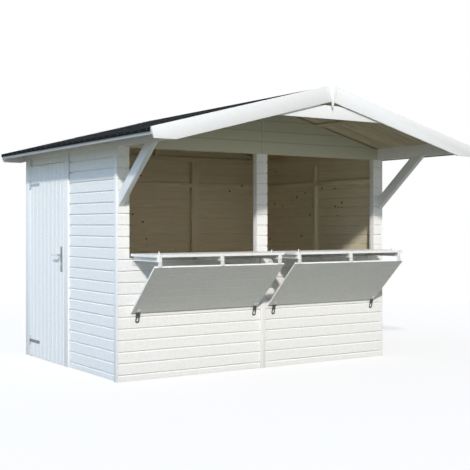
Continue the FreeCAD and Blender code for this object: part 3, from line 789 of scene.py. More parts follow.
    def eased_copy(self, node: str, name: str, ease: float) -> Piece:
        """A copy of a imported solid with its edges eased.

        Args:
            node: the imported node.
            name: the new piece's name.
            ease: the width of the rounding.

        Returns:
            The new piece, merged, rounded and toned.
        """
        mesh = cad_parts[node].data.copy()
        mesh.materials.clear()
        piece = bpy.data.objects.new(name, mesh)
        bpy.context.scene.collection.objects.link(piece)
        self.pick(piece)
        if piece.data.has_custom_normals:
            bpy.ops.mesh.customdata_custom_splitnormals_clear()
        with self.editing(piece):
            bpy.ops.mesh.remove_doubles(threshold=MERGE)
            bpy.ops.mesh.dissolve_limited(angle_limit=math.radians(0.5))
        sharp = math.radians(32)
        self.modify(
            piece, "BEVEL", width=ease, segments=2, limit_method="ANGLE", angle_limit=sharp
        )
        self.tone_islands(piece)
        self.smooth(piece)
        return piece

    def smooth(self, piece: Piece, angle: float = 35.0) -> None:
        """Shades the piece smooth where its faces meet at less than the angle."""
        self.pick(piece)
        bpy.ops.object.shade_smooth_by_angle(angle=math.radians(angle))

    def dress(self, piece: Piece, *names: str) -> None:
        """Gives the piece its finishes in order."""
        piece.data.materials.clear()
        for name in names:
            piece.data.materials.append(self.finishes[name])

    @staticmethod
    def part(piece: Piece, second: Callable[[Face], bool]) -> None:
        """Gives the faces that pass the test the second finish, and the rest the first."""
        for face in piece.data.polygons:
            face.material_index = 1 if second(face) else 0

    def place(self, piece: Piece, slot: str, *nodes: str, body: Body = Body.SHED) -> None:
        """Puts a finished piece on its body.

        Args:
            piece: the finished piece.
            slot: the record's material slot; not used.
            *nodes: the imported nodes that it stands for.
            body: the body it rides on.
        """
        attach(piece, body.value)
        if nodes:
            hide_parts(*nodes)
        self.count += 1
        log.info("%s rides on %s, %d faces", piece.name, body.value, len(piece.data.polygons))


# ---------------------------------------------------------------- boarding


@dataclass
class Cladding:
    """Horizontal boarding on the panels of one wall."""

    name: str
    node: str
    outward: Vector
    pitch: float = 0.096
    first_joint: float = 0.052
    chamfer: float = 0.008
    rebate: float = 0.0075
    deeper: float = 0.003
    inner_ease: float = 0.005
    seam: float = 0.0
    paint: str = ""
    least: float = 0.0
    spare: float = 0.012
    unevenness: float = 0.0007
    sliver: float = 0.0001
    board_end: float = 0.03
    panel_side: float = 0.05

    def build(self, bench: Bench) -> None:
        """Builds every course, cuts them to the wall's outline and places the piece."""
        low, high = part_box(self.node)
        courses: list[Piece] = []
        for panel_low, panel_high in self.panels():
            courses.extend(self.courses(bench, panel_low, panel_high))
        wall = bench.join(self.name, courses)
        bench.cut(wall, Vector((0, 0, low.z)), -Z)
        bench.cut(wall, Vector((0, 0, high.z)), Z)
        self.trim_outline(bench, wall)
        axis = "x" if abs(self.outward.y) > 0.5 else "y"
        bench.dress(wall, self.paint or "white_paint_" + axis, "bare_pine_" + axis)
        bench.part(wall, lambda face: face.normal.dot(self.outward) < -0.5)
        bench.place(wall, "white_boards", self.node)

    def panels(self) -> list[Box]:
        """The boxes of the panels to be boarded."""
        return solid_boxes(self.node)

    def courses(self, bench: Bench, low: Vector, high: Vector) -> list[Piece]:
        """The boards of one panel, from the joint under its foot to the one over its head."""
        start = math.floor((low.z - self.first_joint) / self.pitch)
        foot = self.first_joint + start * self.pitch
        short = foot + self.pitch - low.z < self.least
        if short:
            foot += self.pitch
        count = math.ceil((high.z - self.sliver - foot) / self.pitch)
        moves = (self.settled(bench, step) for step in range(count))
        boards = bench.row(self.course(bench, low, high, foot), moves)
        if short:
            for vertex in boards[0].data.vertices:
                if vertex.co.z < foot + self.pitch / 2:
                    vertex.co.z -= foot - low.z + self.spare
        return boards

    def settled(self, bench: Bench, step: int) -> Matrix:
        """The place of a course, which sits a hair further in than the wall's face."""
        inset = self.outward * -bench.chance.uniform(0.0, self.unevenness)
        return Matrix.Translation(Z * (step * self.pitch) + inset)

    def course(self, bench: Bench, low: Vector, high: Vector, foot: float) -> Piece:
        """The lowest board of a panel, with its joints.

        Args:
            bench: the modelling bench.
            low: the panel's low corner.
            high: the panel's high corner.
            foot: the level of the board's foot.

        Returns:
            The board: a chamfer at the head, a rebate at the foot and an eased inner face.
        """
        head = foot + self.pitch
        board = bench.block("course", (low.x, low.y, foot), (high.x, high.y, head))
        outer = max(self.outward.dot(v.co) for v in board.data.vertices)
        inner = min(self.outward.dot(v.co) for v in board.data.vertices)

        def outer_edge_at(level: float) -> Callable[[Edge], bool]:
            """Tells the long edge of the outer face at a height."""
            return lambda edge: lies_past(edge, self.outward, outer) and all(
                abs(v.co.z - level) < HAIR for v in edge.verts
            )

        bench.bevel(board, self.chamfer, 1, outer_edge_at(head))
        bench.bevel(board, self.rebate, 2, outer_edge_at(foot), profile=0.0)
        floor = outer - self.rebate
        for vertex in board.data.vertices:
            in_rebate = abs(self.outward.dot(vertex.co) - floor) < MERGE
            if in_rebate and vertex.co.z < foot + self.pitch / 2:
                vertex.co -= self.outward * self.deeper
        inner_edge = lambda edge: (
            length_along(edge, 2) < HAIR
            and lies_past(edge, -self.outward, -inner)
            and edge.calc_length() > self.board_end
        )
        bench.bevel(board, self.inner_ease, 1, inner_edge)
        if self.seam:
            upright = lambda edge: (
                length_along(edge, 2) > self.panel_side and lies_past(edge, self.outward, outer)
            )
            bench.bevel(board, self.seam, 1, upright)
        return board

    def trim_outline(self, bench: Bench, wall: Piece) -> None:
        """Nothing more to cut on a plain wall."""


@dataclass
class GableCladding(Cladding):
    """Boarding in a gable: two panels that meet at the middle, cut to the slopes."""

    apex: float = 2.416
    least: float = 0.04
    seam: float = 0.009
    gap: float = 0.0004

    def panels(self) -> list[Box]:
        """The left and the right half of the gable."""
        low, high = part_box(self.node)
        left = (Vector(low), Vector((-self.gap, high.y, high.z)))
        right = (Vector((self.gap, low.y, low.z)), Vector(high))
        return [left, right]

    def trim_outline(self, bench: Bench, wall: Piece) -> None:
        """Cuts both slopes."""
        for side in (-1, 1):
            slope = Vector((side * math.sin(PITCH), 0, math.cos(PITCH)))
            bench.cut(wall, Vector((0, 0, self.apex)), slope)


@dataclass
class RoofBoarding:
    """Boards that run down both slopes, seen from below in the canopy."""

    node: str = "roof_boards"
    pitch: float = 0.096
    thickness: float = 0.019
    groove: float = 0.008
    apex: float = 2.44933
    spare: float = 0.05
    past_ridge: float = 0.02
    ridge_gap: float = 0.0005
    unevenness: float = 0.0006

    def build(self, bench: Bench) -> None:
        """Builds both slopes."""
        low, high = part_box(self.node)
        for side, name in ((-1, "roof_boards_left"), (1, "roof_boards_right")):
            slope = self.slope(bench, name, side, low, high)
            bench.dress(slope, "roof_pine")
            bench.place(slope, "roof_pine", self.node)

    def slope(self, bench: Bench, name: str, side: int, low: Vector, high: Vector) -> Piece:
        """One slope's boards, cut upright at ridge and eave.

        Args:
            bench: the modelling bench.
            name: the slope's name.
            side: -1 for the left slope, 1 for the right.
            low: the roof's low corner.
            high: the roof's high corner.

        Returns:
            The boarded slope.
        """
        length = (high.x + self.spare) / math.cos(PITCH)
        ends = sorted((-side * self.past_ridge, side * length))
        board_low = (ends[0], low.y, -self.thickness)
        first = bench.block("roof_board", board_low, (ends[1], low.y + self.pitch, 0))
        lower_edge = lambda edge: lies_past(edge, -Z, self.thickness) and (
            length_along(edge, 1) < HAIR
        )
        bench.bevel(first, self.groove, 1, lower_edge)
        tilt = Matrix.Translation((0, 0, self.apex)) @ Matrix.Rotation(side * PITCH, 4, "Y")
        sink = lambda: -bench.chance.uniform(0.0, self.unevenness)
        steps = range(math.ceil((high.y - low.y) / self.pitch))
        moves = (tilt @ Matrix.Translation((0, step * self.pitch, sink())) for step in steps)
        whole = bench.join(name, bench.row(first, moves))
        bench.cut(whole, Vector((0, high.y, 0)), Y)
        bench.cut(whole, Vector((side * self.ridge_gap, 0, 0)), X * -side)
        bench.cut(whole, Vector((side * high.x, 0, 0)), X * side)
        return whole


@dataclass
class DeckBoards:
    """Floor boards that run along the shed."""

    node: str = "floor_deck"
    pitch: float = 0.12
    gap: float = 0.0006
    ease: float = 0.002

    def build(self, bench: Bench) -> None:
        """Builds the floor."""
        low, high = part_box(self.node)
        corner = (high.x, low.y + self.pitch - self.gap, high.z)
        first = bench.block("deck_board", low, corner)
        long_top = lambda edge: lies_past(edge, Z, high.z) and edge.calc_length() > 1.0
        bench.bevel(first, self.ease, 1, long_top)
        steps = range(math.ceil((high.y - low.y) / self.pitch))
        moves = (Matrix.Translation((0, step * self.pitch, 0)) for step in steps)
        floor = bench.join("deck_boards", bench.row(first, moves))
        bench.cut(floor, Vector((0, high.y, 0)), Y)
        bench.dress(floor, "bare_pine_x")
        bench.place(floor, "bare_pine", self.node)


# ---------------------------------------------------------------- felt


@dataclass
class FeltRoof:
    """Sheets of felt that lap down each slope, a ridge strip and the eave folds."""

    node: str = "roof_felt"
    board_apex: float = 2.44933
    sheet: float = 0.0016
    resting: float = 0.0004
    lapped: float = 0.0022
    lap_top: float = 0.84
    lap_foot: float = 0.93
    ridge_reach: float = 0.17
    lower_rows: tuple[float, ...] = (1.1, 1.3, 1.5)
    upper_rows: tuple[float, ...] = (0.004, 0.1, 0.3, 0.5, 0.7)
    cap_rows: tuple[float, ...] = (0.0, 0.02, 0.06, 0.11)
    before_eave: Span = (0.012, 0.0035)
    round_lap: Span = (0.02, 0.005)
    rising: float = 0.0006
    fold: float = 0.024
    fold_start: float = 0.003
    fold_inset: float = 0.0018
    columns: int = 104
    ripple: float = 0.0009
    swells: tuple[float, ...] = (2.3, 5.0, 7.0)
    nail_lift: float = 0.0046
    nail_edge: float = 0.03
    nail_end: float = 0.05
    lap_spacing: float = 0.15
    ridge_spacing: float = 0.2
    fold_spacing: float = 0.12
    fold_nail_drop: float = 0.0075
    fold_nail_inset: float = 0.0009

    def build(self, bench: Bench, nails: "Fastener") -> None:
        """Builds the sheets, then the nails that hold them."""
        self.low, self.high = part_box(self.node)
        self.eave = self.high.x / math.cos(PITCH)
        top, foot = self.lap_top, self.lap_foot
        lower = [top, foot, *self.lower_rows, *(self.eave - step for step in self.before_eave)]
        upper = [*self.upper_rows, top - self.round_lap[0], top + self.round_lap[1], foot]
        lifts = [self.resting] * len(self.upper_rows) + [self.rising, self.lapped, self.lapped]
        cap = [*self.cap_rows, self.ridge_reach]
        pieces = []
        for side in (-1, 1):
            pieces.append(self.strip(bench, side, lower, [self.resting] * len(lower), self.fold))
            pieces.append(self.strip(bench, side, upper, lifts))
            pieces.append(self.strip(bench, side, cap, [self.lapped] * len(cap)))
        felt = bench.join("felt_sheets", pieces)
        bench.smooth(felt, angle=50.0)
        bench.dress(felt, "roofing_felt")
        bench.place(felt, "felt", self.node)
        nails.scatter(bench, "felt_nails", self.nail_spots(), "dark_zinc", "felt")

    def point(self, side: int, down: float, lift: float) -> Vector:
        """A place on a slope, so far down from the ridge and so far over the boards."""
        x = down * math.cos(PITCH) + lift * math.sin(PITCH)
        z = self.board_apex - down * math.sin(PITCH) + lift * math.cos(PITCH)
        return Vector((side * x, 0, z))

    def strip(
        self, bench: Bench, side: int, downs: list[float], lifts: list[float], fold: float = 0.0
    ) -> Piece:
        """One sheet, laid over the boards.

        Args:
            bench: the modelling bench.
            side: -1 for the left slope, 1 for the right.
            downs: how far down the slope each row of points lies.
            lifts: how far over the boards each row lies.
            fold: how far the sheet turns down over the eave.

        Returns:
            The sheet, with its thickness.
        """
        rows = [self.point(side, down, lift) for down, lift in zip(downs, lifts)]
        if fold:
            edge = side * (self.high.x - self.fold_inset)
            turned = rows[-1]
            for drop in (self.fold_start, fold):
                rows.append(Vector((edge, 0, turned.z - drop)))
        bpy.ops.object.select_all(action="DESELECT")
        bpy.ops.mesh.primitive_grid_add(
            x_subdivisions=len(rows) - 1, y_subdivisions=self.columns, size=1.0
        )
        sheet = bench.settle("felt_sheet")
        width = self.high.y - self.low.y
        for vertex in sheet.data.vertices:
            row = round((vertex.co.x + 0.5) * (len(rows) - 1))
            y = self.low.y + (vertex.co.y + 0.5) * width
            place = rows[row]
            across, along, apart = self.swells
            swell = noise.noise(Vector((place.x * across, y * along, downs[0] * apart)))
            wave = self.ripple * (0.5 + 0.5 * swell)
            edge_row = bool(fold) and row >= len(rows) - 2
            rise = 0.0 if edge_row else wave * 0.5
            x = place.x + side * rise * math.sin(PITCH)
            vertex.co = (x, y, place.z + rise * math.cos(PITCH))
        with bench.editing(sheet):
            bpy.ops.mesh.normals_make_consistent(inside=False)
        if sum(face.normal.z for face in sheet.data.polygons) < 0:
            sheet.data.flip_normals()
        bench.modify(sheet, "SOLIDIFY", thickness=self.sheet, offset=1.0)
        return sheet

    def nail_spots(self) -> Spots:
        """Where the nails go, and which way they face."""
        spots = []
        for side in (-1, 1):
            up = Vector((side * math.sin(PITCH), 0, math.cos(PITCH)))
            lap = self.point(side, self.lap_foot - self.nail_edge, self.nail_lift)
            ridge = self.point(side, self.ridge_reach - self.nail_edge, self.nail_lift)
            fold = self.point(side, self.eave, 0) - Z * self.fold_nail_drop
            fold.x = side * (self.high.x - self.fold_nail_inset)
            for start, facing, spacing in (
                (lap, up, self.lap_spacing),
                (ridge, up, self.ridge_spacing),
                (fold, X * side, self.fold_spacing),
            ):
                run = self.high.y - self.low.y - 2 * self.nail_end
                for step in range(int(run / spacing) + 1):
                    y = self.low.y + self.nail_end + step * spacing
                    spots.append((Vector((start.x, y, start.z)), facing))
        return spots


# ---------------------------------------------------------------- fastenings


@dataclass
class Fastener:
    """A round head that is modelled once and set wherever one is driven."""

    radius: float
    height: float
    sides: int = 10
    recess: float = 0.0
    rounding: float = 0.45
    rim: float = 0.45

    def head(self, bench: Bench) -> Piece:
        """One head at the origin that faces up."""
        head = bench.rod("head", (0, 0, 0), Z, self.radius, self.height, self.sides)
        top = self.height / 2
        bench.bevel(head, self.height * self.rounding, 1, lambda edge: lies_past(edge, Z, top))
        if self.recess:
            flat_top = lambda face: face.normal.z > 0.9 and (
                face.calc_center_median().z > top - HAIR
            )
            with bench.editing(head, every=False):
                bench.choose(head, Element.FACES, flat_top)
                bpy.ops.mesh.inset(thickness=self.radius * self.rim)
                sink = {"value": (0, 0, -self.recess)}
                bpy.ops.mesh.extrude_region_move(TRANSFORM_OT_translate=sink)
        return head

    def scatter(
        self, bench: Bench, name: str, spots: Spots, finish: str, slot: str, body: Body = Body.SHED
    ) -> None:
        """Sets a head at every spot, and finishes and places them as one piece.

        Args:
            bench: the modelling bench.
            name: the name of the joined piece.
            spots: the place and the facing of each head.
            finish: the heads' finish.
            slot: the record's material slot.
            body: the body they ride on.
        """
        head, heads = self.head(bench), []
        for place, facing in spots:
            turn = Vector(facing).to_track_quat("Z", "Y").to_matrix().to_4x4()
            heads.append(bench.copy(head, Matrix.Translation(place) @ turn))
        bpy.data.objects.remove(head)
        whole = bench.join(name, heads)
        bench.smooth(whole, angle=40.0)
        bench.dress(whole, finish)
        bench.place(whole, slot, body=body)


# ---------------------------------------------------------------- timber pieces


@dataclass
class EasedTimber:
    """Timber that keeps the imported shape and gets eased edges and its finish."""

    node: str
    name: str
    finish: str
    slot: str
    ease: float = 0.002
    body: Body = Body.SHED

    def build(self, bench: Bench) -> None:
        """Builds and places the piece."""
        piece = bench.eased_copy(self.node, self.name, self.ease)
        self.shape(piece)
        bench.dress(piece, self.finish)
        bench.place(piece, self.slot, self.node, body=self.body)

    def shape(self, piece: Piece) -> None:
        """Plain timber keeps its shape."""


@dataclass
class Fascia(EasedTimber):
    """Eave boards, square to the slope, so that their feet stand a little further in."""

    longer: float = 0.012
    lean: float = 0.6

    def shape(self, piece: Piece) -> None:
        """Lengthens the foot of each board and draws it in under the felt."""
        low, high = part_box(self.node)
        for vertex in piece.data.vertices:
            side = 1 if vertex.co.x > 0 else -1
            if vertex.co.z < (low.z + high.z) / 2:
                vertex.co.z -= self.longer
            vertex.co.x -= side * math.tan(PITCH) * (high.z - vertex.co.z) * self.lean


@dataclass
class PartPainted:
    """Timber that is painted outside and left bare where it stands in the room."""

    node: str
    name: str
    paint: str
    bare: str
    slot: str
    faces_outside: Callable[[Face], bool]
    room_front: float = -1.004
    room_back: float = 1.004
    ease: float = 0.002

    def build(self, bench: Bench) -> None:
        """Cuts the mesh where it enters the room and gives each part its finish."""
        piece = bench.eased_copy(self.node, self.name, self.ease)
        for level in (self.room_front, self.room_back):
            with bench.editing(piece):
                bpy.ops.mesh.bisect(plane_co=(0, level, 0), plane_no=(0, 1, 0))
        bench.dress(piece, self.paint, self.bare)
        bench.part(piece, self.in_room)
        bench.place(piece, self.slot, self.node)

    def in_room(self, face: Face) -> bool:
        """Whether a face is seen only from inside the room."""
        return self.room_front < face.center.y < self.room_back and not self.faces_outside(face)


@dataclass
class HiddenFloor:
    """The floor bearers, which stay as they are packed and only take a finish."""

    node: str = "floor_bearers"
    finish: str = "treated_pine"

    def build(self, bench: Bench) -> None:
        """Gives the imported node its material."""
        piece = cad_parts[self.node]
        if not piece.material_slots:
            piece.data.materials.append(None)
        for material_slot in piece.material_slots:
            material_slot.link = "OBJECT"
            material_slot.material = bench.finishes[self.finish]
        log.info("%s keeps its solid in %s", self.node, self.finish)


# ---------------------------------------------------------------- hatches


@dataclass
class Hatch:
    """One folded-down hatch: the counter leaf and the prop leaf of tight boards."""

    side: str
    tight: float = 0.0009
    counter_boards: int = 4
    counter_thickness: float = 0.022
    cleat_width: float = 0.034
    cleat_inset: float = 0.024
    cleat_ease: float = 0.0015
    flap_boards: int = 6
    flap_length: float = 0.572
    flap_thickness: float = 0.016
    foot_cut: float = 0.007
    link: float = 0.003

    def build(self, bench: Bench) -> None:
        """Builds both leaves."""
        counter, flap = "counter_" + self.side, "flap_" + self.side
        low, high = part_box(counter)
        leaves = {counter: self.counter(bench, low, high), flap: self.flap(bench, low)}
        for node, leaf in leaves.items():
            bench.dress(leaf, "white_paint_x")
            bench.place(leaf, "white_boards", node)

    def boards(self, bench: Bench, low: Vector, high: Vector, axis: int, count: int) -> list[Piece]:
        """Boards side by side along an axis, with tight joints.

        Args:
            bench: the modelling bench.
            low: the leaf's low corner.
            high: the leaf's high corner.
            axis: 1 where the boards lie side by side along Y, 2 along Z.
            count: how many boards there are.

        Returns:
            The boards.
        """
        made = []
        start = low[axis]
        width = (high[axis] - low[axis]) / count
        for _ in range(count):
            a, b = Vector(low), Vector(high)
            a[axis], b[axis] = start, start + width
            board = bench.block("leaf_board", a, b)
            bench.bevel(board, self.tight, 1, lambda edge: length_along(edge, 0) > 0.5)
            bench.tone(board)
            made.append(board)
            start += width
        return made

    def counter(self, bench: Bench, low: Vector, high: Vector) -> Piece:
        """The counter leaf: four boards on three cleats."""
        foot = Vector((low.x, low.y, high.z - self.counter_thickness))
        parts = self.boards(bench, foot, high, 1, self.counter_boards)
        half = self.cleat_width / 2
        end = self.cleat_inset + half
        for centre in (low.x + end, (low.x + high.x) / 2, high.x - end):
            corner = (centre + half, high.y, foot.z)
            cleat = bench.block("cleat", (centre - half, low.y, low.z), corner)
            under = lambda edge: all(v.co.z < foot.z - HAIR for v in edge.verts)
            bench.bevel(cleat, self.cleat_ease, 2, under)
            bench.tone(cleat)
            parts.append(cleat)
        return bench.join("counter_leaf_" + self.side, parts)

    def flap(self, bench: Bench, counter_low: Vector) -> Piece:
        """The prop leaf: six boards, built upright and leant back to the wall."""
        low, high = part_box("flap_" + self.side)
        front = counter_low.y - self.link
        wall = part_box("front_wall_lower")[0].y
        reach = wall - front
        lean = math.asin(reach / math.hypot(self.flap_length, self.flap_thickness))
        lean -= math.atan2(self.flap_thickness, self.flap_length)
        top = high.z - self.flap_thickness * math.sin(lean)
        foot = Vector((low.x, front, top - self.flap_length))
        head = Vector((high.x, front + self.flap_thickness, top))
        boards = self.boards(bench, foot, head, 2, self.flap_boards)
        corner = Vector((0, front, foot.z + self.foot_cut))
        bench.cut(boards[0], corner, Vector((0, -1, -1)).normalized())
        leaf = bench.join("prop_leaf_" + self.side, boards)
        pivot = Vector((0, front, top))
        turn = Matrix.Rotation(lean, 4, "X") @ Matrix.Translation(-pivot)
        leaf.data.transform(Matrix.Translation(pivot) @ turn)
        return leaf


@dataclass
class Hasps:
    """The slotted hasps at the feet of the hatches, painted where they lie on the leaf."""

    node: str = "hatch_hasps"
    spread: float = 1.3
    slot_spread: float = 1.65
    slot_half: float = 0.006
    shift: float = -0.008
    ease: float = 0.0006
    leaf_foot: float = 0.012

    def build(self, bench: Bench) -> None:
        """Widens each hasp and its slot, and gives the leaf and the strap their finishes."""
        piece = bench.eased_copy(self.node, "hasps", self.ease)
        middles = [(low.x + high.x) / 2 for low, high in solid_boxes(self.node)]
        for vertex in piece.data.vertices:
            middle = min(middles, key=lambda x: abs(x - vertex.co.x))
            across = vertex.co.x - middle
            spread = self.slot_spread if abs(across) < self.slot_half else self.spread
            vertex.co.x = middle + across * spread + self.shift
        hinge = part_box("flap_left")[0].z + self.leaf_foot
        bench.dress(piece, "dark_zinc", "white_coated")
        bench.part(piece, lambda face: face.center.z > hinge)
        bench.place(piece, "dark_steel", self.node)


# ---------------------------------------------------------------- door


@dataclass
class Door:
    """The side door: upright boards, strap hinges, lock plates and lever."""

    pitch: float = 0.096
    groove: float = 0.0042
    hole: float = 0.0095
    timber_ease: float = 0.002
    metal_ease: float = 0.0006
    broader: float = 1.8
    knuckle: float = 0.02
    painted_reflection_split: float = 1.0
    strap_face: float = -1.4742
    plate_face: float = -1.4738
    bolt_places: tuple[float, ...] = (0.042, 0.102, 0.162, 0.212)
    outer_face: float = -1.46
    plate_screws: Span = (0.012, 0.014)
    lock_screws: float = 0.012
    proud: float = 0.0006
    barrel: Span = (0.0085, 0.005)
    barrel_drop: float = 0.072
    barrel_out: float = 0.0015
    web_down: Vector = field(default_factory=lambda: Vector((0.0025, 0.005, 0.024)))
    web_up: Vector = field(default_factory=lambda: Vector((0.0025, 0.005, -0.004)))
    web_ease: float = 0.0015
    keyway_painted_dark: Vector = field(default_factory=lambda: Vector((0.0027, 0.0009, 0.005)))
    drill_depth: float = 0.08
    lever: Vector = field(default_factory=lambda: Vector((-1.454, 0.121, 1.025)))

    def build(self, bench: Bench, bolt: Fastener, screw: Fastener) -> None:
        """Builds the leaf and its fittings."""
        leaf = self.leaf(bench)
        bench.dress(leaf, "white_paint_z", "bare_pine_z")
        bench.part(leaf, lambda face: face.normal.x > 0.5)
        bench.place(leaf, "white_boards", "door_leaf", body=Body.DOOR)
        timber, metal = self.timber_ease, self.metal_ease
        plates, nickel, slot = "door_hinge_plates", "satin_nickel", "lever_metal"
        for fitting in (
            EasedTimber(plates, "hinge_plates", "bright_zinc", "white_steel", metal),
            EasedTimber("door_ledges", "ledges", "bare_pine_y", "bare_pine", timber, Body.DOOR),
            EasedTimber(
                "door_braces", "braces_on_door", "bare_pine_z", "bare_pine", timber, Body.DOOR
            ),
            EasedTimber("lock_plates", "lock_plates_eased", "galvanised", slot, metal, Body.DOOR),
            EasedTimber("lever_handle", "lever", nickel, slot, metal, Body.LEVER),
        ):
            fitting.build(bench)
        self.straps(bench)
        self.heads(bench, bolt, screw)
        self.keyhole(bench)

    def straps(self, bench: Bench) -> None:
        """The two strap hinges, broad between knuckle and end: one zinc, given a bluish painted sky
        reflection on the upper hinge and a darker painted ground reflection on the lower one.
        """
        piece = bench.eased_copy("door_straps", "strap_hinges", self.metal_ease)
        bench.dress(piece, "zinc_painted_sky_sheen", "zinc_painted_ground_shade")
        boxes = solid_boxes("door_straps")
        middles = [(low.z + high.z) / 2 for low, high in boxes]
        knuckle = boxes[0][1].y - self.knuckle
        for vertex in piece.data.vertices:
            middle = min(middles, key=lambda z: abs(z - vertex.co.z))
            if vertex.co.y < knuckle:
                vertex.co.z = middle + (vertex.co.z - middle) * self.broader
        # Faces below this height take the darker painted ground reflection, the rest the bluish
        # painted sky reflection.
        bench.part(piece, lambda face: face.center.z < self.painted_reflection_split)
        bench.place(piece, "white_steel", "door_straps", body=Body.DOOR)

    def leaf(self, bench: Bench) -> Piece:
        """The boards of the leaf, with the spindle's hole through one of them."""
        low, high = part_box("door_leaf")
        whole = int((high.y - low.y) / self.pitch) - 1
        edge = (high.y - low.y - whole * self.pitch) / 2
        outer_long = lambda e: lies_past(e, -X, -low.x) and e.calc_length() > 1.0
        boards = []
        start = low.y
        for width in [edge] + [self.pitch] * whole + [edge]:
            corner = (high.x, start + width, high.z)
            board = bench.block("door_board", (low.x, start, low.z), corner)
            bench.bevel(board, self.groove, 1, outer_long)
            bench.tone(board)
            boards.append(board)
            start += width
        leaf = bench.join("door_boards", boards)
        drill = bench.rod("drill", self.lever, X, self.hole, self.drill_depth, 24)
        bench.modify(leaf, "BOOLEAN", object=drill, operation="DIFFERENCE", solver="EXACT")
        bpy.data.objects.remove(drill)
        return leaf

    def heads(self, bench: Bench, bolt: Fastener, screw: Fastener) -> None:
        """Bolts along the straps, and screws in the plates."""
        strap_spots, plate_spots, lock_spots = [], [], []
        for low, high in solid_boxes("door_straps"):
            for along in self.bolt_places:
                place = Vector((self.strap_face, high.y - along, (low.z + high.z) / 2))
                strap_spots.append((place, -X))
        for low, high in solid_boxes("door_hinge_plates"):
            inset, end = self.plate_screws
            for level in (low.z + end, high.z - end):
                plate_spots.append((Vector((self.plate_face, high.y - inset, level)), -X))
        for low, high in solid_boxes("lock_plates"):
            outer = low.x < self.outer_face
            face, facing = (low.x - self.proud, -X) if outer else (high.x + self.proud, X)
            for level in (low.z + self.lock_screws, high.z - self.lock_screws):
                lock_spots.append((Vector((face, (low.y + high.y) / 2, level)), facing))
        for name, head, spots, body, slot in (
            ("strap_bolts", bolt, strap_spots, Body.DOOR, "white_steel"),
            ("hinge_plate_screws", screw, plate_spots, Body.SHED, "white_steel"),
            ("lock_screws", screw, lock_spots, Body.DOOR, "lever_metal"),
        ):
            head.scatter(bench, name, spots, "galvanised", slot, body)

    def keyhole(self, bench: Bench) -> None:
        """A key cylinder under the lever, on both faces, its keyway a dark block of painted shade.
        """
        parts = []
        for low, high in solid_boxes("lock_plates"):
            out = -X if low.x < self.outer_face else X
            middle = Vector(((low.x + high.x) / 2, self.lever.y, self.lever.z - self.barrel_drop))
            centre = middle + out * self.barrel_out
            barrel = bench.rod("cylinder", centre, X, *self.barrel, 20)
            web = bench.block("web", centre - self.web_down, centre + self.web_up)
            bench.bevel(web, self.web_ease, 2, lambda edge: length_along(edge, 0) > 0.003)
            # The keyway is a dark block on the barrel's face, painted shade in place of a hole.
            keyway_painted_dark = bench.block("keyway_painted_dark", centre - self.keyway_painted_dark, centre + self.keyway_painted_dark)
            for part in (barrel, web, keyway_painted_dark):
                bench.dress(part, "satin_nickel", "dark_zinc")
            bench.part(keyway_painted_dark, lambda face: True)
            parts.extend([barrel, web, keyway_painted_dark])
        whole = bench.join("key_cylinders", parts)
        bench.smooth(whole, angle=40.0)
        bench.place(whole, "lever_metal", body=Body.DOOR)


# ---------------------------------------------------------------- screws in the trims


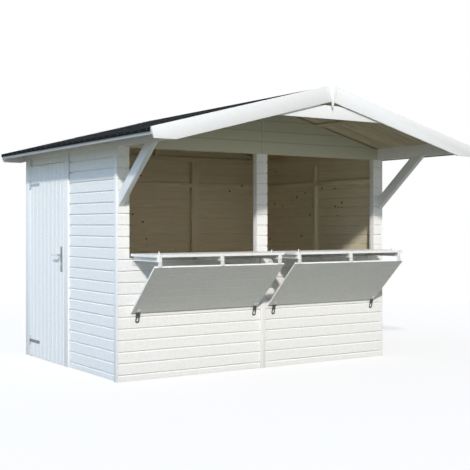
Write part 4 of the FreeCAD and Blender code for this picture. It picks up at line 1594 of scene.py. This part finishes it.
@dataclass
class TrimScrews:
    """Painted screws in the trims, barge boards, braces and hatch fittings."""

    spacing: float = 0.42
    end: float = 0.05
    proud: float = 0.0002
    uprights: tuple[str, ...] = (
        "corner_trims",
        "door_lock_trim",
        "door_hinge_trim",
        "front_centre_batten",
    )
    barge_downs: tuple[float, ...] = (0.09, 0.62, 1.15, 1.6)
    barge_across: tuple[float, ...] = (0.035, 0.1)
    tie_half: float = 0.45
    tie_levels: tuple[float, ...] = (0.03, 0.08)
    tie_depth: float = 0.016
    brace_places: tuple[Span, ...] = ((-1.06, 1.56), (-1.1, 1.56), (-1.5, 1.9), (-1.53, 1.93))
    link_half: float = 0.009
    link_drop: float = 0.011
    link_face: float = 0.0004
    hinge_half: float = 0.02
    hinge_level: float = 0.012
    hinge_along: tuple[float, ...] = (0.012, 0.04)
    hinge_face: float = 0.0027

    def build(self, bench: Bench, screw: Fastener) -> None:
        """Sets every screw."""
        spots = [spot for node in self.uprights for spot in self.upright_spots(node)]
        spots += self.barge_spots() + self.brace_spots()
        for name, slot, places in (
            ("trim_screws", "white_trim", spots),
            ("fitting_screws", "white_steel", self.fitting_spots()),
        ):
            screw.scatter(bench, name, places, "white_coated", slot)

    def upright_spots(self, node: str) -> Spots:
        """Screws up the middle of each upright trim of a node."""
        spots = []
        for low, high in solid_boxes(node):
            middle = (low + high) / 2
            thin_x = high.x - low.x < high.y - low.y
            if thin_x:
                out = X if middle.x > 0 else -X
                face = high.x if middle.x > 0 else low.x
            else:
                out, face = -Y, low.y
            run = high.z - low.z - 2 * self.end
            count = max(2, round(run / self.spacing) + 1)
            for step in range(count):
                z = low.z + self.end + run * step / (count - 1)
                spot = Vector((face, middle.y, z)) if thin_x else Vector((middle.x, face, z))
                spots.append((spot + out * self.proud, out))
        return spots

    def barge_spots(self) -> Spots:
        """Pairs of screws along the barge boards and the tie board."""
        spots = []
        for node, out in (("front_barges", -Y), ("rear_barges", Y)):
            low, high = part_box(node)
            face = low.y if out.y < 0 else high.y
            for side in (-1, 1):
                for down in self.barge_downs:
                    for across in self.barge_across:
                        x = down * math.cos(PITCH) - across * math.sin(PITCH)
                        z = high.z - down * math.sin(PITCH) - across * math.cos(PITCH)
                        spots.append((Vector((side * x, face, z)) + out * self.proud, out))
        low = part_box("tie_board")[0]
        for x in (-self.tie_half, self.tie_half):
            for level in self.tie_levels:
                spots.append((Vector((x, low.y + self.tie_depth, low.z + level)), Y))
        return spots

    def brace_spots(self) -> Spots:
        """Two screws near each end of a brace, on its inner face."""
        spots = []
        for low, high in solid_boxes("canopy_braces"):
            inner = high.x if high.x < 0 else low.x
            out = X if high.x < 0 else -X
            for y, z in self.brace_places:
                spots.append((Vector((inner, y, z)) + out * self.proud, out))
        return spots

    def fitting_spots(self) -> Spots:
        """Screws in the links and the sill hinges."""
        spots = []
        for low, high in solid_boxes("flap_links"):
            middle = (low.x + high.x) / 2
            for dx in (-self.link_half, self.link_half):
                place = (middle + dx, low.y - self.link_face, high.z - self.link_drop)
                spots.append((Vector(place), -Y))
        for low, high in solid_boxes("sill_hinges"):
            middle = (low.x + high.x) / 2
            for dx in (-self.hinge_half, self.hinge_half):
                place = (middle + dx, high.y - self.hinge_face, low.z + self.hinge_level)
                spots.append((Vector(place), -Y))
            for along in self.hinge_along:
                spots.append((Vector((middle, low.y + along, high.z - self.hinge_face)), -Z))
        return spots


@dataclass
class LinkPins:
    """The barrels of the link hinges, each with a loose pin that stands out at its left."""

    radius: float = 0.0042
    width: float = 0.034
    pin: float = 0.0022
    overhang: float = 0.013
    waist: float = 0.043
    proud: float = 0.0005
    barrel_ease: float = 0.0006
    pin_ease: float = 0.0005

    def build(self, bench: Bench) -> None:
        """Builds a barrel and a pin on every link."""
        parts = []
        for low, high in solid_boxes("flap_links"):
            middle = (low.x + high.x) / 2
            centre = Vector((middle, low.y + self.proud, low.z + self.waist))
            reach = centre - X * self.overhang / 2
            for name, place, radius, length, sides, ease in (
                ("barrel", centre, self.radius, self.width, 14, self.barrel_ease),
                ("loose_pin", reach, self.pin, self.width + self.overhang, 10, self.pin_ease),
            ):
                part = bench.rod(name, place, X, radius, length, sides)
                bench.bevel(part, ease, 1, lambda edge: length_along(edge, 0) < HAIR)
                parts.append(part)
        whole = bench.join("link_pins", parts)
        bench.smooth(whole, angle=40.0)
        bench.dress(whole, "white_coated")
        bench.place(whole, "white_steel")


# ---------------------------------------------------------------- studio


@dataclass
class Studio:
    """Pale floor, soft light and the camera at the photograph's angle."""

    camera_place: Vector = field(default_factory=lambda: Vector((-4.9355, -8.0121, 1.3018)))
    heading: float = 33.56
    lens: float = 71.82
    shift: float = -0.0208
    sun_way: Vector = field(default_factory=lambda: Vector((0.63, 1.0, -0.738)))
    sun_strength: float = 2.93
    sun_angle: float = 3.0
    sun_colour: Colour = (1.0, 0.96, 0.918)
    low_sky: Colour = (1.16, 1.14, 1.06)
    high_sky: Colour = (0.31, 0.36, 0.42)
    sky_rise: Span = (0.04, 0.34)
    low_side: Colour = (0.46, 0.59, 0.68)
    high_side: Colour = (0.76, 1.2, 1.85)
    side_rise: Span = (0.0, 0.6)
    side_turn: Span = (-0.1, -0.85)
    near_ground: Colour = (0.07, 0.079, 0.052)
    far_ground: Colour = (0.38, 0.385, 0.33)
    ground_change: Span = (3.0, 6.5)
    floor: Colour = (0.95, 0.925, 0.89)
    floor_size: float = 120.0
    floor_level: float = -0.0005
    lamp_place: Vector = field(default_factory=lambda: Vector((-4, -6, 5)))
    floor_glow: Span = (0.7, 1.0)
    glow_change: Span = (3.0, 9.0)
    sensor: float = 36.0
    far_clip: float = 200.0

    def build(self) -> None:
        """Builds the floor, the light and the camera."""
        self.lay_floor()
        self.light()
        self.world()
        self.camera()
        bpy.context.scene.view_settings.view_transform = "Standard"

    def lay_floor(self) -> None:
        """A wide pale floor that keeps the shadow and fades to white far off."""
        bpy.ops.object.select_all(action="DESELECT")
        bpy.ops.mesh.primitive_plane_add(size=self.floor_size, location=Z * self.floor_level)
        plane = bpy.context.active_object
        plane.name = "floor"
        made = bpy.data.materials.new("pale_floor")
        made.use_nodes = True
        made.node_tree.nodes.clear()
        graph = Graph(made.node_tree)
        seen = graph.seen()
        spot = graph.add("ShaderNodeTexCoord").outputs["Object"]
        away = graph.add("ShaderNodeVectorMath", spot, operation="LENGTH").outputs["Value"]
        change = graph.ramp(away, self.ground_change)
        ground = graph.blend(change, self.near_ground, self.far_ground)
        matt = graph.add("ShaderNodeBsdfDiffuse", graph.blend(seen, ground, self.floor))
        white = graph.add("ShaderNodeEmission")
        white.inputs["Strength"].default_value = 1.0
        glow = graph.ramp(away, self.glow_change, self.floor_glow)
        share = graph.maths("MULTIPLY", glow, seen)
        mix = graph.add("ShaderNodeMixShader", share, matt.outputs[0], white.outputs[0])
        graph.add("ShaderNodeOutputMaterial", mix.outputs[0])
        plane.data.materials.append(made)

    def light(self) -> None:
        """The soft key light, from the front and the left."""
        bpy.ops.object.select_all(action="DESELECT")
        bpy.ops.object.light_add(type="SUN", location=self.lamp_place)
        lamp = bpy.context.active_object
        lamp.name = "key_light"
        lamp.rotation_euler = self.sun_way.to_track_quat("-Z", "Y").to_euler()
        lamp.data.energy = self.sun_strength
        lamp.data.angle = math.radians(self.sun_angle)
        lamp.data.color = self.sun_colour

    def world(self) -> None:
        """Soft light all round, bluer from the left, and white where it is seen."""
        world = bpy.data.worlds.new("studio")
        world.use_nodes = True
        bpy.context.scene.world = world
        graph = Graph(world.node_tree)
        background = world.node_tree.nodes["Background"]
        way = graph.parts(graph.add("ShaderNodeTexCoord").outputs["Generated"])
        sky = graph.blend(graph.ramp(way["Z"], self.sky_rise), self.low_sky, self.high_sky)
        side = graph.blend(graph.ramp(way["Z"], self.side_rise), self.low_side, self.high_side)
        sky = graph.blend(graph.ramp(way["X"], self.side_turn), sky, side)
        shown = graph.blend(graph.seen(), sky, (1.0, 1.0, 1.0))
        graph.feed_named(background, {"Color": shown, "Strength": 1.0})

    def camera(self) -> None:
        """The camera at the photograph's place and angle."""
        bpy.ops.object.select_all(action="DESELECT")
        turn = (math.radians(90), 0, math.radians(-self.heading))
        bpy.ops.object.camera_add(location=self.camera_place, rotation=turn)
        view = bpy.context.active_object
        view.name = "camera"
        view.data.lens = self.lens
        view.data.sensor_width = self.sensor
        view.data.shift_y = self.shift
        view.data.clip_end = self.far_clip
        bpy.context.scene.camera = view


# ---------------------------------------------------------------- the whole shed


def claddings() -> list[Cladding]:
    """The boarded walls and gables."""
    return [
        Cladding("front_boards", "front_wall_lower", -Y),
        Cladding("post_boards", "front_posts", -Y),
        # The front gable takes white paint darkened as painted shade from the canopy.
        GableCladding(
            "gable_boards_front",
            "front_gable",
            -Y,
            chamfer=0.005,
            rebate=0.005,
            deeper=0.001,
            paint="gable_painted_shade",
        ),
        GableCladding("gable_boards_rear", "rear_gable", Y),
        Cladding("back_boards", "back_wall", Y),
        Cladding("right_boards", "right_wall", X),
        Cladding("left_boards_front", "left_wall_front", -X),
        Cladding("left_boards_rear", "left_wall_rear", -X),
        Cladding("left_boards_over_door", "left_wall_over_door", -X),
    ]


def eased_timbers() -> list[EasedTimber]:
    """The trims, roof timbers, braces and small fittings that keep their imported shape."""
    paint, trim, pine, steel = "white_paint_z", "white_trim", "bare_pine", "white_steel"
    coated = "white_coated"
    return [
        EasedTimber("corner_trims", "corner_trims_eased", paint, trim),
        EasedTimber("door_hinge_trim", "hinge_side_trim", paint, trim),
        EasedTimber("door_lock_trim", "lock_side_trim", paint, trim),
        EasedTimber("front_centre_batten", "centre_batten", paint, trim),
        EasedTimber("ridge_beam", "beam_at_ridge", "bare_pine_y", pine),
        EasedTimber("front_and_back_rails", "rails_front_and_back", "bare_pine_x", pine),
        EasedTimber("side_rails", "rails_at_sides", "bare_pine_y", pine),
        # The fascias' white paint is greyed as painted shade under the felt.
        Fascia("eave_fascias", "fascias", "fascia_painted_shade", trim, 0.0015),
        EasedTimber("roof_battens", "battens_under_roof", "roof_pine_y", "roof_pine"),
        EasedTimber("front_barges", "barge_boards_front", "barge_paint", trim),
        EasedTimber("rear_barges", "barge_boards_rear", "barge_paint", trim),
        EasedTimber("tie_board", "tie", "tie_paint", trim),
        EasedTimber("finials", "finials_eased", paint, trim),
        EasedTimber("canopy_braces", "braces", paint, trim, 0.003),
        EasedTimber("flap_links", "links", coated, steel, 0.0006),
        EasedTimber("sill_hinges", "hinges_under_counter", coated, steel, 0.0005),
        EasedTimber("counter_pins", "pegs", coated, steel, 0.0015),
    ]


PURLIN_OVERHANG = 1.445
STUD_BACK = -0.955
SILL_LEVEL = 1.03


def part_painted() -> list[PartPainted]:
    """The purlins and the studs, which are painted only where the weather meets them."""

    def purlin_outside(face: Face) -> bool:
        """The purlins' outer faces, which lie over the side walls."""
        return abs(face.center.x) > PURLIN_OVERHANG

    def stud_outside(face: Face) -> bool:
        """The cheeks of the front studs beside the serving openings."""
        in_opening = face.center.y < STUD_BACK and face.center.z > SILL_LEVEL
        return abs(face.normal.x) > 0.5 and in_opening

    ends_y, ends_z = ("white_paint_y", "bare_pine_y"), ("white_paint_z", "bare_pine_z")
    return [
        PartPainted("eave_purlins", "purlins", *ends_y, "white_trim", purlin_outside),
        PartPainted("wall_studs", "studs", *ends_z, "bare_pine", stud_outside),
    ]


def main() -> None:
    """Builds the whole shed, piece by piece."""
    logging.basicConfig(level=logging.INFO, format="%(name)s: %(message)s")
    bench = Bench(seed=17, finishes=Finishes())
    screw = Fastener(radius=0.0038, height=0.0016, sides=10, recess=0.0007)
    bolt = Fastener(radius=0.0075, height=0.004, sides=14)
    nail = Fastener(radius=0.0055, height=0.0014, sides=8)
    Studio().build()
    for cladding in claddings():
        cladding.build(bench)
    RoofBoarding().build(bench)
    DeckBoards().build(bench)
    FeltRoof().build(bench, nail)
    for timber in [*eased_timbers(), *part_painted()]:
        timber.build(bench)
    HiddenFloor().build(bench)
    for side in ("left", "right"):
        Hatch(side).build(bench)
    Hasps().build(bench)
    Door().build(bench, bolt, screw)
    TrimScrews().build(bench, screw)
    LinkPins().build(bench)
    log.info("%d pieces placed", bench.count)


if __name__ == "__main__":
    main()
